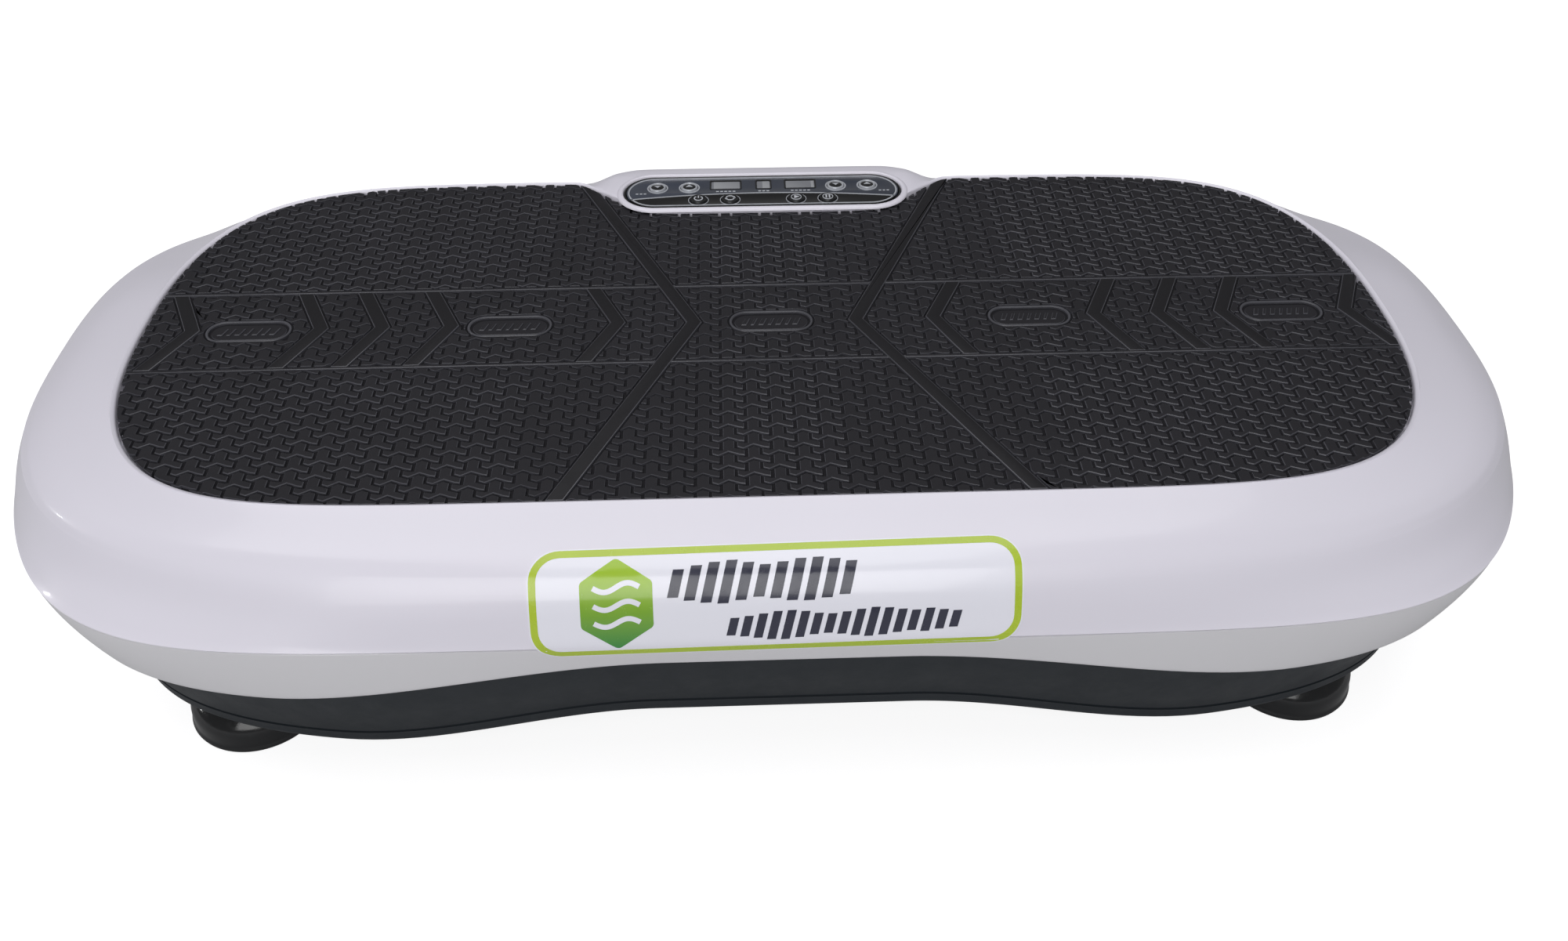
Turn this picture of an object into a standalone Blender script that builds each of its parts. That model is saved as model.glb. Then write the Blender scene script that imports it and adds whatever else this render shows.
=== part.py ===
"""Vibration plate: a low oscillating exercise platform.

A dark base tray stands on four suction feet.  A white two-part housing with a rubber
standing mat rocks like a seesaw on an axle that sits at mid-length and runs front to
back.  A motor turns an eccentric shaft through a belt, and a connecting rod lifts and
lowers one side of the rocking frame.  A console sits in the middle of the rear rim.

Metres, +Z up, +X to the right, -Y to the front, origin on the floor at the centre.
"""

import math

import bmesh
import bpy
from mathutils import Matrix, Vector

# ---------------------------------------------------------------- driving dimensions
# Outlines satisfy |x / half_x|^power_x + |y / half_y|^power_y = 1.
# Columns: half_x, half_y, power_x, power_y
MAT = (0.2772, 0.1236, 7.9, 2.41)
SKIRT_TOP = (0.3318, 0.1673, 7.6, 1.65)
SKIRT_END = (0.3080, 0.1646, 6.0, 3.00)
BASE_TOP = (0.2990, 0.1602, 5.0, 3.20)
BASE_MID = (0.2980, 0.1560, 4.8, 3.35)
BASE_LOW = (0.2960, 0.1486, 4.5, 3.60)
DECK = (0.2500, 0.1050, 6.0, 4.0)

# Levels of the top shell's flank: the outline's columns, then z and the rear's extra
# drop at mid-length
CREST = (0.2805, 0.1268, 7.4, 2.45, 0.1370, 0.0030)  # outer edge of the mat's rim
SLOPE = (0.3020, 0.1455, 5.6, 2.70, 0.1313, 0.0070)  # crowned slope outside the rim
SHOULDER = (0.3135, 0.1540, 4.6, 2.78, 0.1265, 0.0074)
CREASE = (0.3195, 0.1592, 4.3, 2.62, 0.1226, 0.0062)  # between slope and side wall
WALL = (0.3265, 0.1636, 5.2, 2.20, 0.1117, 0.0020)
PARTING = (0.3320, 0.1675, 7.6, 1.65, 0.1008, 0.0)  # where the housing halves meet

SKIRT_TOP_Z, SKIRT_END_Z = 0.1003, 0.0690
SKIRT_EASE = 1.15  # power that eases the outline from skirt top to skirt end
BASE_TOP_Z, BASE_MID_Z, BASE_LOW_Z, BASE_BOTTOM_Z = 0.0800, 0.0530, 0.0245, 0.0215
SHELL_THICKNESS = 0.0026
RECESS_Z, RIM_Z = 0.1320, 0.1366  # floor of the mat's recess, and the rim round it
RIM_SINK = 0.0010  # rear drop of that rim
POD_Z = 0.1378  # raised plateau that carries the console
POD_BACK_Y, POD_X0, POD_X1 = 0.1335, 0.0620, 0.0900
MAT_Z0, MAT_Z1 = 0.1323, 0.1362
NOTCH_Y, NOTCH_X, NOTCH_RADIUS = 0.0910, 0.0605, 0.0050  # notch in the mat's rear edge
GAP = 0.0003  # clearance between neighbouring pieces

# Arches of the lower edges: rise at mid-length, |x| where the fall starts and ends
SKIRT_ARCH = (0.0190, 0.045, 0.205)
BASE_TOP_ARCH = (0.0170, 0.045, 0.205)
BASE_LOW_ARCH = (0.0198, 0.052, 0.184)
SINK_X0, SINK_X1 = 0.275, 0.320  # |x| over which the rear drop fades out
SINK_Y0, SINK_Y1 = 0.020, 0.085  # y over which it sets in

PIVOT_Z = 0.0830  # rocking axle
CRANK_X, CRANK_Z = 0.1000, 0.0720
THROW = 0.00175  # eccentricity of the drive journal
WRIST_Z = 0.1040
MOTOR_X, MOTOR_Z, MOTOR_RADIUS = 0.1850, 0.0805, 0.0250
PULLEY_Y, PULLEY_HALF_WIDTH = 0.0780, 0.0060
CRANK_PULLEY_RADIUS, MOTOR_PULLEY_RADIUS = 0.0240, 0.0080
CHASSIS_Z0, CHASSIS_Z1 = 0.0500, 0.0530
SEAT_Z = CHASSIS_Z1 + GAP  # underside of what stands on the chassis
INLET_X, INLET_Z, INLET_WIDTH, INLET_HEIGHT = -0.1650, 0.0510, 0.0660, 0.0270
PANEL_Y, PANEL_HALF_LENGTH, PANEL_HALF_WIDTH = 0.1101, 0.0714, 0.0167  # console

# Columns: name, side in X, side in Y
CORNERS = (
    ("rear_right", 1, 1), ("front_right", 1, -1), ("rear_left", -1, 1), ("front_left", -1, -1),
)
FRONT_AND_REAR = (("front", -1), ("rear", 1))

# ---------------------------------------------------------------- clean start
for old_object in list(bpy.data.objects):
    bpy.data.objects.remove(old_object, do_unlink=True)
for old_collection in list(bpy.data.collections):
    bpy.data.collections.remove(old_collection)

PARTS = bpy.data.collections.new("vibration_plate")
CUTTERS = bpy.data.collections.new("cutters")
bpy.context.scene.collection.children.link(PARTS)
bpy.context.scene.collection.children.link(CUTTERS)

# ---------------------------------------------------------------- materials
# name: (sRGB colour 0-255, roughness, metallic)
FINISHES = {
    "housing_white": ((222, 220, 228), 0.28, 0.0),
    "housing_white_lower": ((203, 202, 209), 0.30, 0.0),
    "base_charcoal": ((50, 54, 60), 0.45, 0.0),
    "mat_rubber": ((46, 46, 51), 0.75, 0.0),
    "foot_rubber": ((28, 28, 30), 0.30, 0.0),
    "buffer_rubber": ((25, 25, 26), 0.80, 0.0),
    "steel_zinc": ((170, 172, 175), 0.35, 1.0),
    "steel_painted": ((58, 60, 64), 0.50, 0.6),
    "bronze": ((170, 120, 70), 0.40, 1.0),
    "aluminium": ((195, 197, 200), 0.40, 1.0),
    "belt_black": ((22, 22, 22), 0.70, 0.0),
    "black_plastic": ((20, 21, 23), 0.35, 0.0),
    "grey_plastic": ((110, 112, 118), 0.50, 0.0),
    "panel_slate": ((50, 54, 64), 0.22, 0.0),
    "display_grey": ((140, 142, 148), 0.20, 0.0),
    "key_chrome": ((205, 205, 210), 0.15, 1.0),
    "board_green": ((25, 80, 50), 0.50, 0.0),
    "copper_winding": ((150, 85, 45), 0.40, 0.8),
    "label_white": ((240, 240, 244), 0.25, 0.0),
}


def linear(channel):
    """sRGB channel 0-255 to linear 0-1."""
    channel /= 255
    return channel / 12.92 if channel <= 0.04045 else ((channel + 0.055) / 1.055) ** 2.4


def material(name, rgb, roughness, metallic):
    mat = bpy.data.materials.new(name)
    mat.use_nodes = True
    color = (*map(linear, rgb), 1.0)
    shader = mat.node_tree.nodes["Principled BSDF"]
    shader.inputs["Base Color"].default_value = color
    shader.inputs["Roughness"].default_value = roughness
    shader.inputs["Metallic"].default_value = metallic
    mat.diffuse_color = color
    return mat


MATERIALS = {name: material(name, *finish) for name, finish in FINISHES.items()}

# ---------------------------------------------------------------- solids
# Where an object's +Z points
TURN = {"Z": (0, 0, 0), "Y": (math.radians(-90), 0, 0), "-Y": (math.radians(90), 0, 0)}
STANDING = TURN["-Y"]  # stands a flat outline up in the XZ plane


def add(name, data, mat=None, loc=(0, 0, 0), rot=(0, 0, 0)):
    """New object. Without a material it is a boolean tool and goes to CUTTERS."""
    ob = bpy.data.objects.new(name, data)
    ob.location, ob.rotation_euler = loc, rot
    if mat:
        data.materials.append(MATERIALS[mat])
        PARTS.objects.link(ob)
    else:
        CUTTERS.objects.link(ob)
    return ob


def mesh_from(bm, name, smooth=True):
    mesh = bpy.data.meshes.new(name)
    bmesh.ops.recalc_face_normals(bm, faces=bm.faces)
    bm.to_mesh(mesh)
    bm.free()
    if smooth:
        mesh.shade_smooth()
        mesh.set_sharp_from_angle(angle=math.radians(35))
    return mesh


def box(name, size, loc, mat=None, bevel=0.0):
    bm = bmesh.new()
    bmesh.ops.create_cube(bm, size=1.0, matrix=Matrix.Diagonal((*size, 1.0)))
    ob = add(name, mesh_from(bm, name, smooth=False), mat, loc)
    if bevel:
        mod = ob.modifiers.new("edges", "BEVEL")
        mod.width, mod.segments, mod.limit_method = bevel, 1, "ANGLE"
    return ob


def rod(name, radius, length, loc, axis, segments, mat=None):
    bm = bmesh.new()
    bmesh.ops.create_cone(
        bm, cap_ends=True, segments=segments, radius1=radius, radius2=radius, depth=length
    )
    return add(name, mesh_from(bm, name), mat, loc, TURN[axis])


def lathe(name, profile, loc, axis, mat, steps, closed=False):
    """Turned piece. The profile is a chain of (radius, height) points."""
    bm = bmesh.new()
    verts = [bm.verts.new((radius, 0, height)) for radius, height in profile]
    for start, end in zip(verts, verts[1:]):
        bm.edges.new((start, end))
    if closed:
        bm.edges.new((verts[-1], verts[0]))
    mesh = bpy.data.meshes.new(name)
    bm.to_mesh(mesh)
    bm.free()
    ob = add(name, mesh, mat, loc, TURN[axis])
    mod = ob.modifiers.new("turn", "SCREW")
    mod.steps = mod.render_steps = steps
    mod.use_merge_vertices = True
    mod.merge_threshold = 0.00001
    mod.use_smooth_shade = False


def plate(name, loops, thickness, loc, mat=None, rot=(0, 0, 0)):
    """Flat outline with holes, extruded to a plate centred on its plane."""
    curve = bpy.data.curves.new(name, "CURVE")
    curve.dimensions, curve.fill_mode = "2D", "BOTH"
    curve.extrude = thickness / 2
    for loop in loops:
        spline = curve.splines.new("POLY")
        spline.points.add(len(loop) - 1)
        for point, (x, y) in zip(spline.points, loop):
            point.co = (x, y, 0, 1)
        spline.use_cyclic_u = True
    return add(name, curve, mat, loc, rot)


def welded(source, mat=None):
    """Replace a curve object by a plain welded mesh of the same name."""
    bpy.context.view_layer.update()
    depsgraph = bpy.context.evaluated_depsgraph_get()
    mesh = bpy.data.meshes.new_from_object(source.evaluated_get(depsgraph))
    bm = bmesh.new()
    bm.from_mesh(mesh)
    bmesh.ops.remove_doubles(bm, verts=bm.verts, dist=1e-6)
    bmesh.ops.recalc_face_normals(bm, faces=bm.faces)
    bm.to_mesh(mesh)
    bm.free()
    name, matrix = source.name, source.matrix_world.copy()
    bpy.data.objects.remove(source, do_unlink=True)
    ob = add(name, mesh, mat)
    ob.matrix_world = matrix
    return ob


def boolean(ob, operation, *tools):
    """One live boolean modifier per tool; the tools are hidden from renders."""
    for tool in tools:
        tool.hide_render = True
        tool.display_type = "WIRE"
        mod = ob.modifiers.new(operation.lower(), "BOOLEAN")
        mod.operation, mod.object, mod.solver = operation, tool, "EXACT"


# ---------------------------------------------------------------- flat outlines
def arc(radius, start, end, steps, cx=0.0, cy=0.0):
    """Points from angle start to angle end, both included."""
    angles = [start + (end - start) * i / steps for i in range(steps + 1)]
    return [(cx + radius * math.cos(t), cy + radius * math.sin(t)) for t in angles]


def circle(radius, segments, cx=0.0, cy=0.0):
    return arc(radius, 0.0, 2 * math.pi, segments, cx, cy)[:-1]


def rect(width, height, cx, cy):
    x0, x1, y0, y1 = cx - width / 2, cx + width / 2, cy - height / 2, cy + height / 2
    return [(x0, y0), (x1, y0), (x1, y1), (x0, y1)]


def round_rect(width, height, cx, cy, radius, steps):
    points = []
    for side_x, side_y, start in ((1, 1, 0), (-1, 1, 90), (-1, -1, 180), (1, -1, 270)):
        points += arc(
            radius, math.radians(start), math.radians(start + 90), steps,
            cx + side_x * (width / 2 - radius), cy + side_y * (height / 2 - radius),
        )
    return points


def stadium(half_length, half_width, cy=0.0):
    points = []
    for side, start in ((1, -90), (-1, 90)):
        points += arc(
            half_width, math.radians(start), math.radians(start + 180), 10,
            side * (half_length - half_width), cy,
        )
    return points


def wrap(centre1, radius1, centre2, radius2, steps):
    """Outline that wraps two circles with straight tangents."""
    dx, dy = centre2[0] - centre1[0], centre2[1] - centre1[1]
    line = math.atan2(dy, dx)
    tangent = math.acos((radius1 - radius2) / math.hypot(dx, dy))
    far_end = line + 2 * math.pi - tangent
    return (
        arc(radius1, line + tangent, far_end, steps, *centre1)
        + arc(radius2, line - tangent, line + tangent, steps, *centre2)
    )


# ---------------------------------------------------------------- housing outlines
QUADRANT_STEPS = 11
TURN_LENGTH, TURN_ANGLE = 0.42, 1.6  # path length and turn (rad) of equal weight
MIN_STATION_GAP = 0.035  # closest an even station may come to a notch station
NOTCH_STATIONS_X = (0.0975, 0.0900, 0.0820, 0.0720, 0.0640, 0.0590, 0.0530)
REAR_Y = 0.02  # notch, pod and lift act behind this
NOTCH_BLEND = 0.003  # softness of the turn into the notch
LIFT_INSET = 0.012  # the lift starts to fade this far outside POD_X0


def ramp(x, x0, x1):
    """1 inside x0, 0 outside x1, smooth between."""
    t = min(1.0, max(0.0, (abs(x) - x0) / (x1 - x0)))
    return 1.0 - t * t * (3 - 2 * t)


def arch(x, rise, x0, x1):
    return rise * ramp(x, x0, x1)


def mix(first, second, t):
    return tuple(u + (v - u) * t for u, v in zip(first, second))


def outline_y(x, half_x, half_y, power_x, power_y):
    return half_y * max(0.0, 1.0 - min(1.0, abs(x) / half_x) ** power_x) ** (1.0 / power_y)


def outline_point(psi, half_x, half_y, power_x, power_y):
    """Point of the outline at the normalised polar angle psi, found by bisection."""
    cos, sin = abs(math.cos(psi)), abs(math.sin(psi))
    low, high = 0.5, 1.5
    for _ in range(50):
        middle = (low + high) / 2
        if (middle * cos) ** power_x + (middle * sin) ** power_y > 1:
            high = middle
        else:
            low = middle
    return half_x * low * math.cos(psi), half_y * low * math.sin(psi)


def notch_y(x, grow):
    t = abs(x) - NOTCH_X + 0.4 * grow
    return NOTCH_Y + grow + (t + math.sqrt(t * t + NOTCH_RADIUS**2)) / 2


def quadrant_angles():
    """Normalised polar angles of one quadrant: even along the crease, closer in the
    corner, and with stations where the mat's notch turns."""
    fine_steps, samples = 600, []
    total, previous, heading = 0.0, None, None
    for i in range(fine_steps + 1):
        psi = math.pi / 2 * i / fine_steps
        point = Vector(outline_point(psi, *CREASE[:4]))
        if previous is not None:
            step = point - previous
            new_heading = math.atan2(step.y, step.x)
            total += step.length / TURN_LENGTH
            if heading is not None:
                total += abs(new_heading - heading) / TURN_ANGLE
            heading = new_heading
        previous = point
        samples.append((total, psi))
    angles, j = [], 0
    for k in range(QUADRANT_STEPS + 1):
        goal = total * k / QUADRANT_STEPS
        while j < fine_steps and samples[j][0] < goal:
            j += 1
        angles.append(samples[j][1])
    angles[0], angles[-1] = 0.0, math.pi / 2
    stations = [
        math.atan2(outline_y(x, *MAT) / MAT[1], x / MAT[0]) for x in NOTCH_STATIONS_X
    ]
    kept = [a for a in angles if all(abs(a - s) > MIN_STATION_GAP for s in stations)]
    return sorted(kept + stations)


QUADRANT = quadrant_angles()
RIGHT_HALF = [-a for a in reversed(QUADRANT)] + QUADRANT[1:]  # front to rear middle
ANGLES = RIGHT_HALF + [math.pi - a for a in reversed(RIGHT_HALF[1:-1])]
COUNT = len(ANGLES)


def partner(i):
    """The ring station straight across in Y."""
    psi = -ANGLES[i]
    return min(range(COUNT), key=lambda k: abs(math.remainder(ANGLES[k] - psi, 2 * math.pi)))


PARTNERS = [partner(i) for i in range(COUNT)]


def ring(shape, z, grow=0.0, notch=None, pod=0.0, lift=0.0, arched=None, sink=0.0):
    """One outline of a loft. notch: offset of the mat's rear notch. pod: how far the
    rear edge steps back behind the console. lift: added height there. arched: arch of
    the edge. sink: drop of the rear flank."""
    points = []
    half_x, half_y, power_x, power_y = shape
    for psi in ANGLES:
        x, y = outline_point(psi, half_x + grow, half_y + grow, power_x, power_y)
        height = z
        if y > REAR_Y:
            if notch is not None:
                limit = notch_y(x, notch)
                y = (y + limit - math.sqrt((y - limit) ** 2 + NOTCH_BLEND**2)) / 2
            y += pod * ramp(x, POD_X0, POD_X1)
            height += lift * ramp(x, POD_X0 + LIFT_INSET, POD_X1)
        if arched:
            height += arched(x)
        if y > 0:
            height -= sink * ramp(x, SINK_X0, SINK_X1) * (1 - ramp(y, SINK_Y0, SINK_Y1))
        points.append((x, y, height))
    return points


def flank_ring(level, drop=0.0, grow=0.0, pod=0.0, lift=0.0):
    """Ring of the top shell's flank, lowered by drop."""
    return ring(level[:4], level[4] - drop, grow=grow, pod=pod, lift=lift, sink=level[5])


def loft(name, rings, mat, capped=True):
    """Closed body through rings of stations. Its ends are capped by strips laid across
    in Y, or else the last ring is joined to the first."""
    bm = bmesh.new()
    rows = [[bm.verts.new(point) for point in points] for points in rings]
    bands = list(zip(rows, rows[1:]))
    for lower, upper in bands:
        for i in range(COUNT):
            j = (i + 1) % COUNT
            bm.faces.new((lower[i], lower[j], upper[j], upper[i]))
    if capped:
        for row in (rows[0], rows[-1]):
            for side in (1, -1):
                stations = [side * i % COUNT for i in range(len(QUADRANT))]
                pairs = [(row[i], row[PARTNERS[i]]) for i in stations]
                for (front0, rear0), (front1, rear1) in zip(pairs, pairs[1:]):
                    # the outermost strip is a triangle
                    bm.faces.new(list(dict.fromkeys((front0, front1, rear1, rear0))))
    else:
        first, last = rows[0], rows[-1]
        for i in range(COUNT):
            j = (i + 1) % COUNT
            bm.faces.new((last[i], last[j], first[j], first[i]))
    return add(name, mesh_from(bm, name), mat)


# ---------------------------------------------------------------- housing
def build_top_shell():
    rim_lift = POD_Z - RIM_Z + RIM_SINK
    rim_round = 0.0006
    crest_pod = POD_BACK_Y - CREST[1]
    crest_lift = POD_Z - CREST[4] + CREST[5]
    outer = [
        ring(MAT, RECESS_Z, grow=0.0005, notch=0.0005),
        ring(MAT, RIM_Z, grow=0.0007, notch=0.0007, lift=rim_lift, sink=RIM_SINK),
        ring(
            MAT, RIM_Z + rim_round, grow=0.0018, notch=0.0016,
            lift=rim_lift - rim_round, sink=RIM_SINK,
        ),
        flank_ring(CREST, pod=crest_pod, lift=crest_lift),
    ]
    outer += [flank_ring(level) for level in (SLOPE, SHOULDER, CREASE, WALL, PARTING)]
    inset = -SHELL_THICKNESS
    inner = [
        flank_ring(PARTING, grow=inset),
        flank_ring(WALL, drop=0.0006, grow=inset),
        flank_ring(CREASE, drop=0.0018, grow=inset),
        flank_ring(SHOULDER, drop=0.0024, grow=inset),
        flank_ring(SLOPE, drop=0.0026, grow=inset - 0.0004),
        flank_ring(CREST, drop=0.0028, grow=0.0010, pod=crest_pod - 0.003, lift=crest_lift),
        ring(MAT, RIM_Z - 0.0024, grow=0.0032, notch=0.0024, lift=rim_lift, sink=RIM_SINK),
        ring(MAT, RECESS_Z - 0.0030, grow=0.0028, notch=0.0022),
    ]
    shell = loft("top_shell", outer + inner, "housing_white")
    opening = [stadium(PANEL_HALF_LENGTH, PANEL_HALF_WIDTH)]
    tool = welded(plate("cut_console", opening, 0.03, (0, PANEL_Y, POD_Z)))
    boolean(shell, "DIFFERENCE", tool)


def skirt_outline(t):
    """Skirt outline at t, from 0 at its top to 1 at its end."""
    return mix(SKIRT_TOP, SKIRT_END, t**SKIRT_EASE)


def build_skirt():
    def skirt_ring(t, grow):
        def rise_to_edge(x):
            return (SKIRT_END_Z + arch(x, *SKIRT_ARCH) - SKIRT_TOP_Z) * t

        return ring(skirt_outline(t), SKIRT_TOP_Z, grow=grow, arched=rise_to_edge)

    steps = (0.0, 0.50, 1.0)
    outer = [skirt_ring(t, 0.0) for t in steps]
    inner = [skirt_ring(t, -SHELL_THICKNESS) for t in reversed(steps)]
    loft("skirt_shell", outer + inner, "housing_white_lower", capped=False)


def build_mat():
    chamfer_z, chamfer = 0.0006, 0.0008
    rings = [
        ring(MAT, MAT_Z0, notch=0.0),
        ring(MAT, MAT_Z1 - chamfer_z, notch=0.0),
        ring(MAT, MAT_Z1, grow=-chamfer, notch=-chamfer),
    ]
    loft("rubber_mat", rings, "mat_rubber")


def build_base_tray():
    def top_arch(x):
        return arch(x, *BASE_TOP_ARCH)

    def low_arch(x):
        return arch(x, *BASE_LOW_ARCH)

    def mid_arch(x):
        return 0.5 * (top_arch(x) + low_arch(x))

    inset = -SHELL_THICKNESS
    rings = [
        # outside, bottom to top
        ring(BASE_LOW, BASE_BOTTOM_Z, grow=-0.0040, arched=low_arch),
        ring(BASE_LOW, BASE_LOW_Z, arched=low_arch),
        ring(BASE_MID, BASE_MID_Z, arched=mid_arch),
        ring(BASE_TOP, BASE_TOP_Z, arched=top_arch),
        # inside, top to floor
        ring(BASE_TOP, BASE_TOP_Z, grow=inset, arched=top_arch),
        ring(BASE_MID, BASE_MID_Z, grow=inset, arched=mid_arch),
        ring(BASE_LOW, BASE_LOW_Z + 0.0004, grow=inset - 0.001, arched=low_arch),
    ]
    tray = loft("base_tray", rings, "base_charcoal")
    # bosses under the chassis plate
    boss_x, boss_y, boss_radius = 0.200, 0.085, 0.009
    boss_z0, boss_z1 = 0.0235, CHASSIS_Z0 - GAP
    for k, (_, side_x, side_y) in enumerate(CORNERS):
        centre = (side_x * boss_x, side_y * boss_y, (boss_z1 + boss_z0) / 2)
        boss = rod(f"boss_{k}", boss_radius, boss_z1 - boss_z0, centre, "Z", 16)
        boolean(tray, "UNION", boss)
    window = (INLET_WIDTH + 2 * GAP, 0.040, INLET_HEIGHT + 2 * GAP)
    boolean(tray, "DIFFERENCE", box("cut_inlet", window, (INLET_X, 0.150, INLET_Z)))


# ---------------------------------------------------------------- front label
LABEL_X0, LABEL_X1, LABEL_CORNER = -0.0945, 0.0895, 0.012
LABEL_CORNER_COLUMNS = (0.0, 0.0015, 0.0050, LABEL_CORNER)  # distances from a side edge
LABEL_MIDDLE_STEPS, LABEL_ROWS = 5, 8
LABEL_OFFSETS = (0.00090, 0.00120)  # back and face of the sheet, off the wall
LABEL_SKIRT_PART = 0.34  # how far down the skirt the label reaches
# Levels down the front wall that the label follows
LABEL_LEVELS = [
    mix(SLOPE, SHOULDER, -0.05), mix(SLOPE, SHOULDER, 0.5), SHOULDER, CREASE,
    mix(CREASE, WALL, 0.5), WALL, mix(WALL, PARTING, 0.5), PARTING,
    (
        *skirt_outline(LABEL_SKIRT_PART),
        SKIRT_TOP_Z - (SKIRT_TOP_Z - SKIRT_END_Z - SKIRT_ARCH[0]) * LABEL_SKIRT_PART,
    ),
]


def front_profile(x):
    """Points (y, z) of the front wall at x, top to bottom, and the segment lengths."""
    points = [(-outline_y(x, *level[:4]), level[4]) for level in LABEL_LEVELS]
    return points, [math.dist(p, q) for p, q in zip(points, points[1:])]


def outward(start, end):
    direction = Vector((end[0] - start[0], end[1] - start[1])).normalized()
    return Vector((direction.y, -direction.x))


def label_point(x, fraction, offset):
    """Point at a fraction of the way down the front wall, offset outwards."""
    points, lengths = front_profile(x)
    goal, k = fraction * sum(lengths), 0
    while k < len(lengths) - 1 and goal > lengths[k]:
        goal -= lengths[k]
        k += 1
    t = goal / lengths[k]
    (y0, z0), (y1, z1) = points[k], points[k + 1]
    # the normal is blended with that of the nearer neighbouring segment
    here = outward(points[k], points[k + 1])
    if t < 0.5:
        normal = outward(points[max(0, k - 1)], points[max(1, k)]).lerp(here, 0.5 + t)
    else:
        last = len(points) - 1
        after = outward(points[min(last - 1, k + 1)], points[min(last, k + 2)])
        normal = here.lerp(after, t - 0.5)
    normal.normalize()
    return (x, y0 + (y1 - y0) * t + normal.x * offset, z0 + (z1 - z0) * t + normal.y * offset)


def corner_cut(x):
    """Length that the rounded corners take off the label's top and bottom at x."""
    edge = min(x - LABEL_X0, LABEL_X1 - x)
    if edge >= LABEL_CORNER:
        return 0.0
    return LABEL_CORNER - math.sqrt(max(0.0, LABEL_CORNER**2 - (LABEL_CORNER - edge) ** 2))


def build_label():
    """Front badge: a thin sheet that follows the front wall across the parting line."""
    middle_width = LABEL_X1 - LABEL_X0 - 2 * LABEL_CORNER
    left = [LABEL_X0 + dx for dx in LABEL_CORNER_COLUMNS]
    columns = left + [
        LABEL_X0 + LABEL_CORNER + middle_width * k / LABEL_MIDDLE_STEPS
        for k in range(1, LABEL_MIDDLE_STEPS)
    ]
    columns += [LABEL_X0 + LABEL_X1 - x for x in reversed(left)]
    length = sum(front_profile(0)[1])
    bm = bmesh.new()
    sheets = []
    for offset in LABEL_OFFSETS:
        sheet = []
        for x in columns:
            cut = corner_cut(x) / length
            fractions = [cut + (1 - 2 * cut) * k / LABEL_ROWS for k in range(LABEL_ROWS + 1)]
            sheet.append([bm.verts.new(label_point(x, f, offset)) for f in fractions])
        sheets.append(sheet)
    lower, upper = sheets
    last = len(columns) - 1
    for sheet in sheets:
        for c in range(last):
            for k in range(LABEL_ROWS):
                quad = (sheet[c][k], sheet[c + 1][k], sheet[c + 1][k + 1], sheet[c][k + 1])
                bm.faces.new(quad[::-1] if sheet is lower else quad)
    for c in range(last):
        for k in (0, LABEL_ROWS):
            bm.faces.new((lower[c][k], lower[c + 1][k], upper[c + 1][k], upper[c][k]))
    for k in range(LABEL_ROWS):
        for c in (0, last):
            bm.faces.new((lower[c][k], lower[c][k + 1], upper[c][k + 1], upper[c][k]))
    add("front_label", mesh_from(bm, "front_label"), "label_white")


# ---------------------------------------------------------------- feet and buffers
FOOT_X, FOOT_Y, FOOT_RADIUS = 0.2340, 0.1017, 0.0296
BUFFER_X, BUFFER_Y = 0.2250, 0.0550
# Profiles: (radius, z)
FOOT_PROFILE = [
    (0.0, 0.0212), (0.0125, 0.0212), (0.0135, 0.0180), (0.0215, 0.0142), (0.0272, 0.0085),
    (FOOT_RADIUS, 0.0030), (FOOT_RADIUS, 0.0), (0.0262, 0.0), (0.0, 0.0058),
]
BUFFER_PROFILE = [
    (0.0, 0.1070), (0.0085, 0.1070), (0.0100, 0.1040), (0.0115, SEAT_Z), (0.0, SEAT_Z),
]


def build_feet_and_buffers():
    for corner, side_x, side_y in CORNERS:
        foot_at = (side_x * FOOT_X, side_y * FOOT_Y, 0)
        lathe(f"foot_{corner}", FOOT_PROFILE, foot_at, "Z", "foot_rubber", 20)
        buffer_at = (side_x * BUFFER_X, side_y * BUFFER_Y, 0)
        lathe(f"buffer_{corner}", BUFFER_PROFILE, buffer_at, "Z", "buffer_rubber", 12)


# ---------------------------------------------------------------- chassis and pivot
BUSH_Y, TUBE_HALF_LENGTH = 0.050, 0.070
# (radius, distance outwards along Y from BUSH_Y)
BUSH_PROFILE = [
    (0.0135, 0.0225), (0.0135, 0.0203), (0.0100, 0.0203),
    (0.0100, 0.0), (0.00812, 0.0), (0.00812, 0.0225),
]


def build_chassis():
    slot_width = 0.024  # clears the pulleys and belt
    loops = [
        round_rect(0.510, 0.210, 0, 0, 0.020, 3),
        rect(0.070, slot_width, CRANK_X, PULLEY_Y),
        rect(0.034, slot_width, MOTOR_X, PULLEY_Y),
        round_rect(0.060, 0.060, -0.045, 0, 0.008, 2),
    ]
    centre = (0, 0, (CHASSIS_Z0 + CHASSIS_Z1) / 2)
    plate("chassis_plate", loops, CHASSIS_Z1 - CHASSIS_Z0, centre, "steel_painted")


def upright(name, y, x, z, head_radius, bore_radius, half_foot, thickness, mat):
    """Plate standing on the chassis with a round head and a bore along Y."""
    reach = math.radians(20)  # how far the head's arc runs below its centre
    foot_top = SEAT_Z + 0.006
    outer = arc(head_radius, -reach, math.pi + reach, 14, x, z)
    outer += [(x - half_foot, foot_top), (x - half_foot, SEAT_Z)]
    outer += [(x + half_foot, SEAT_Z), (x + half_foot, foot_top)]
    plate(name, [outer, circle(bore_radius, 28, x, z)], thickness, (0, y, 0), mat, STANDING)


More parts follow.
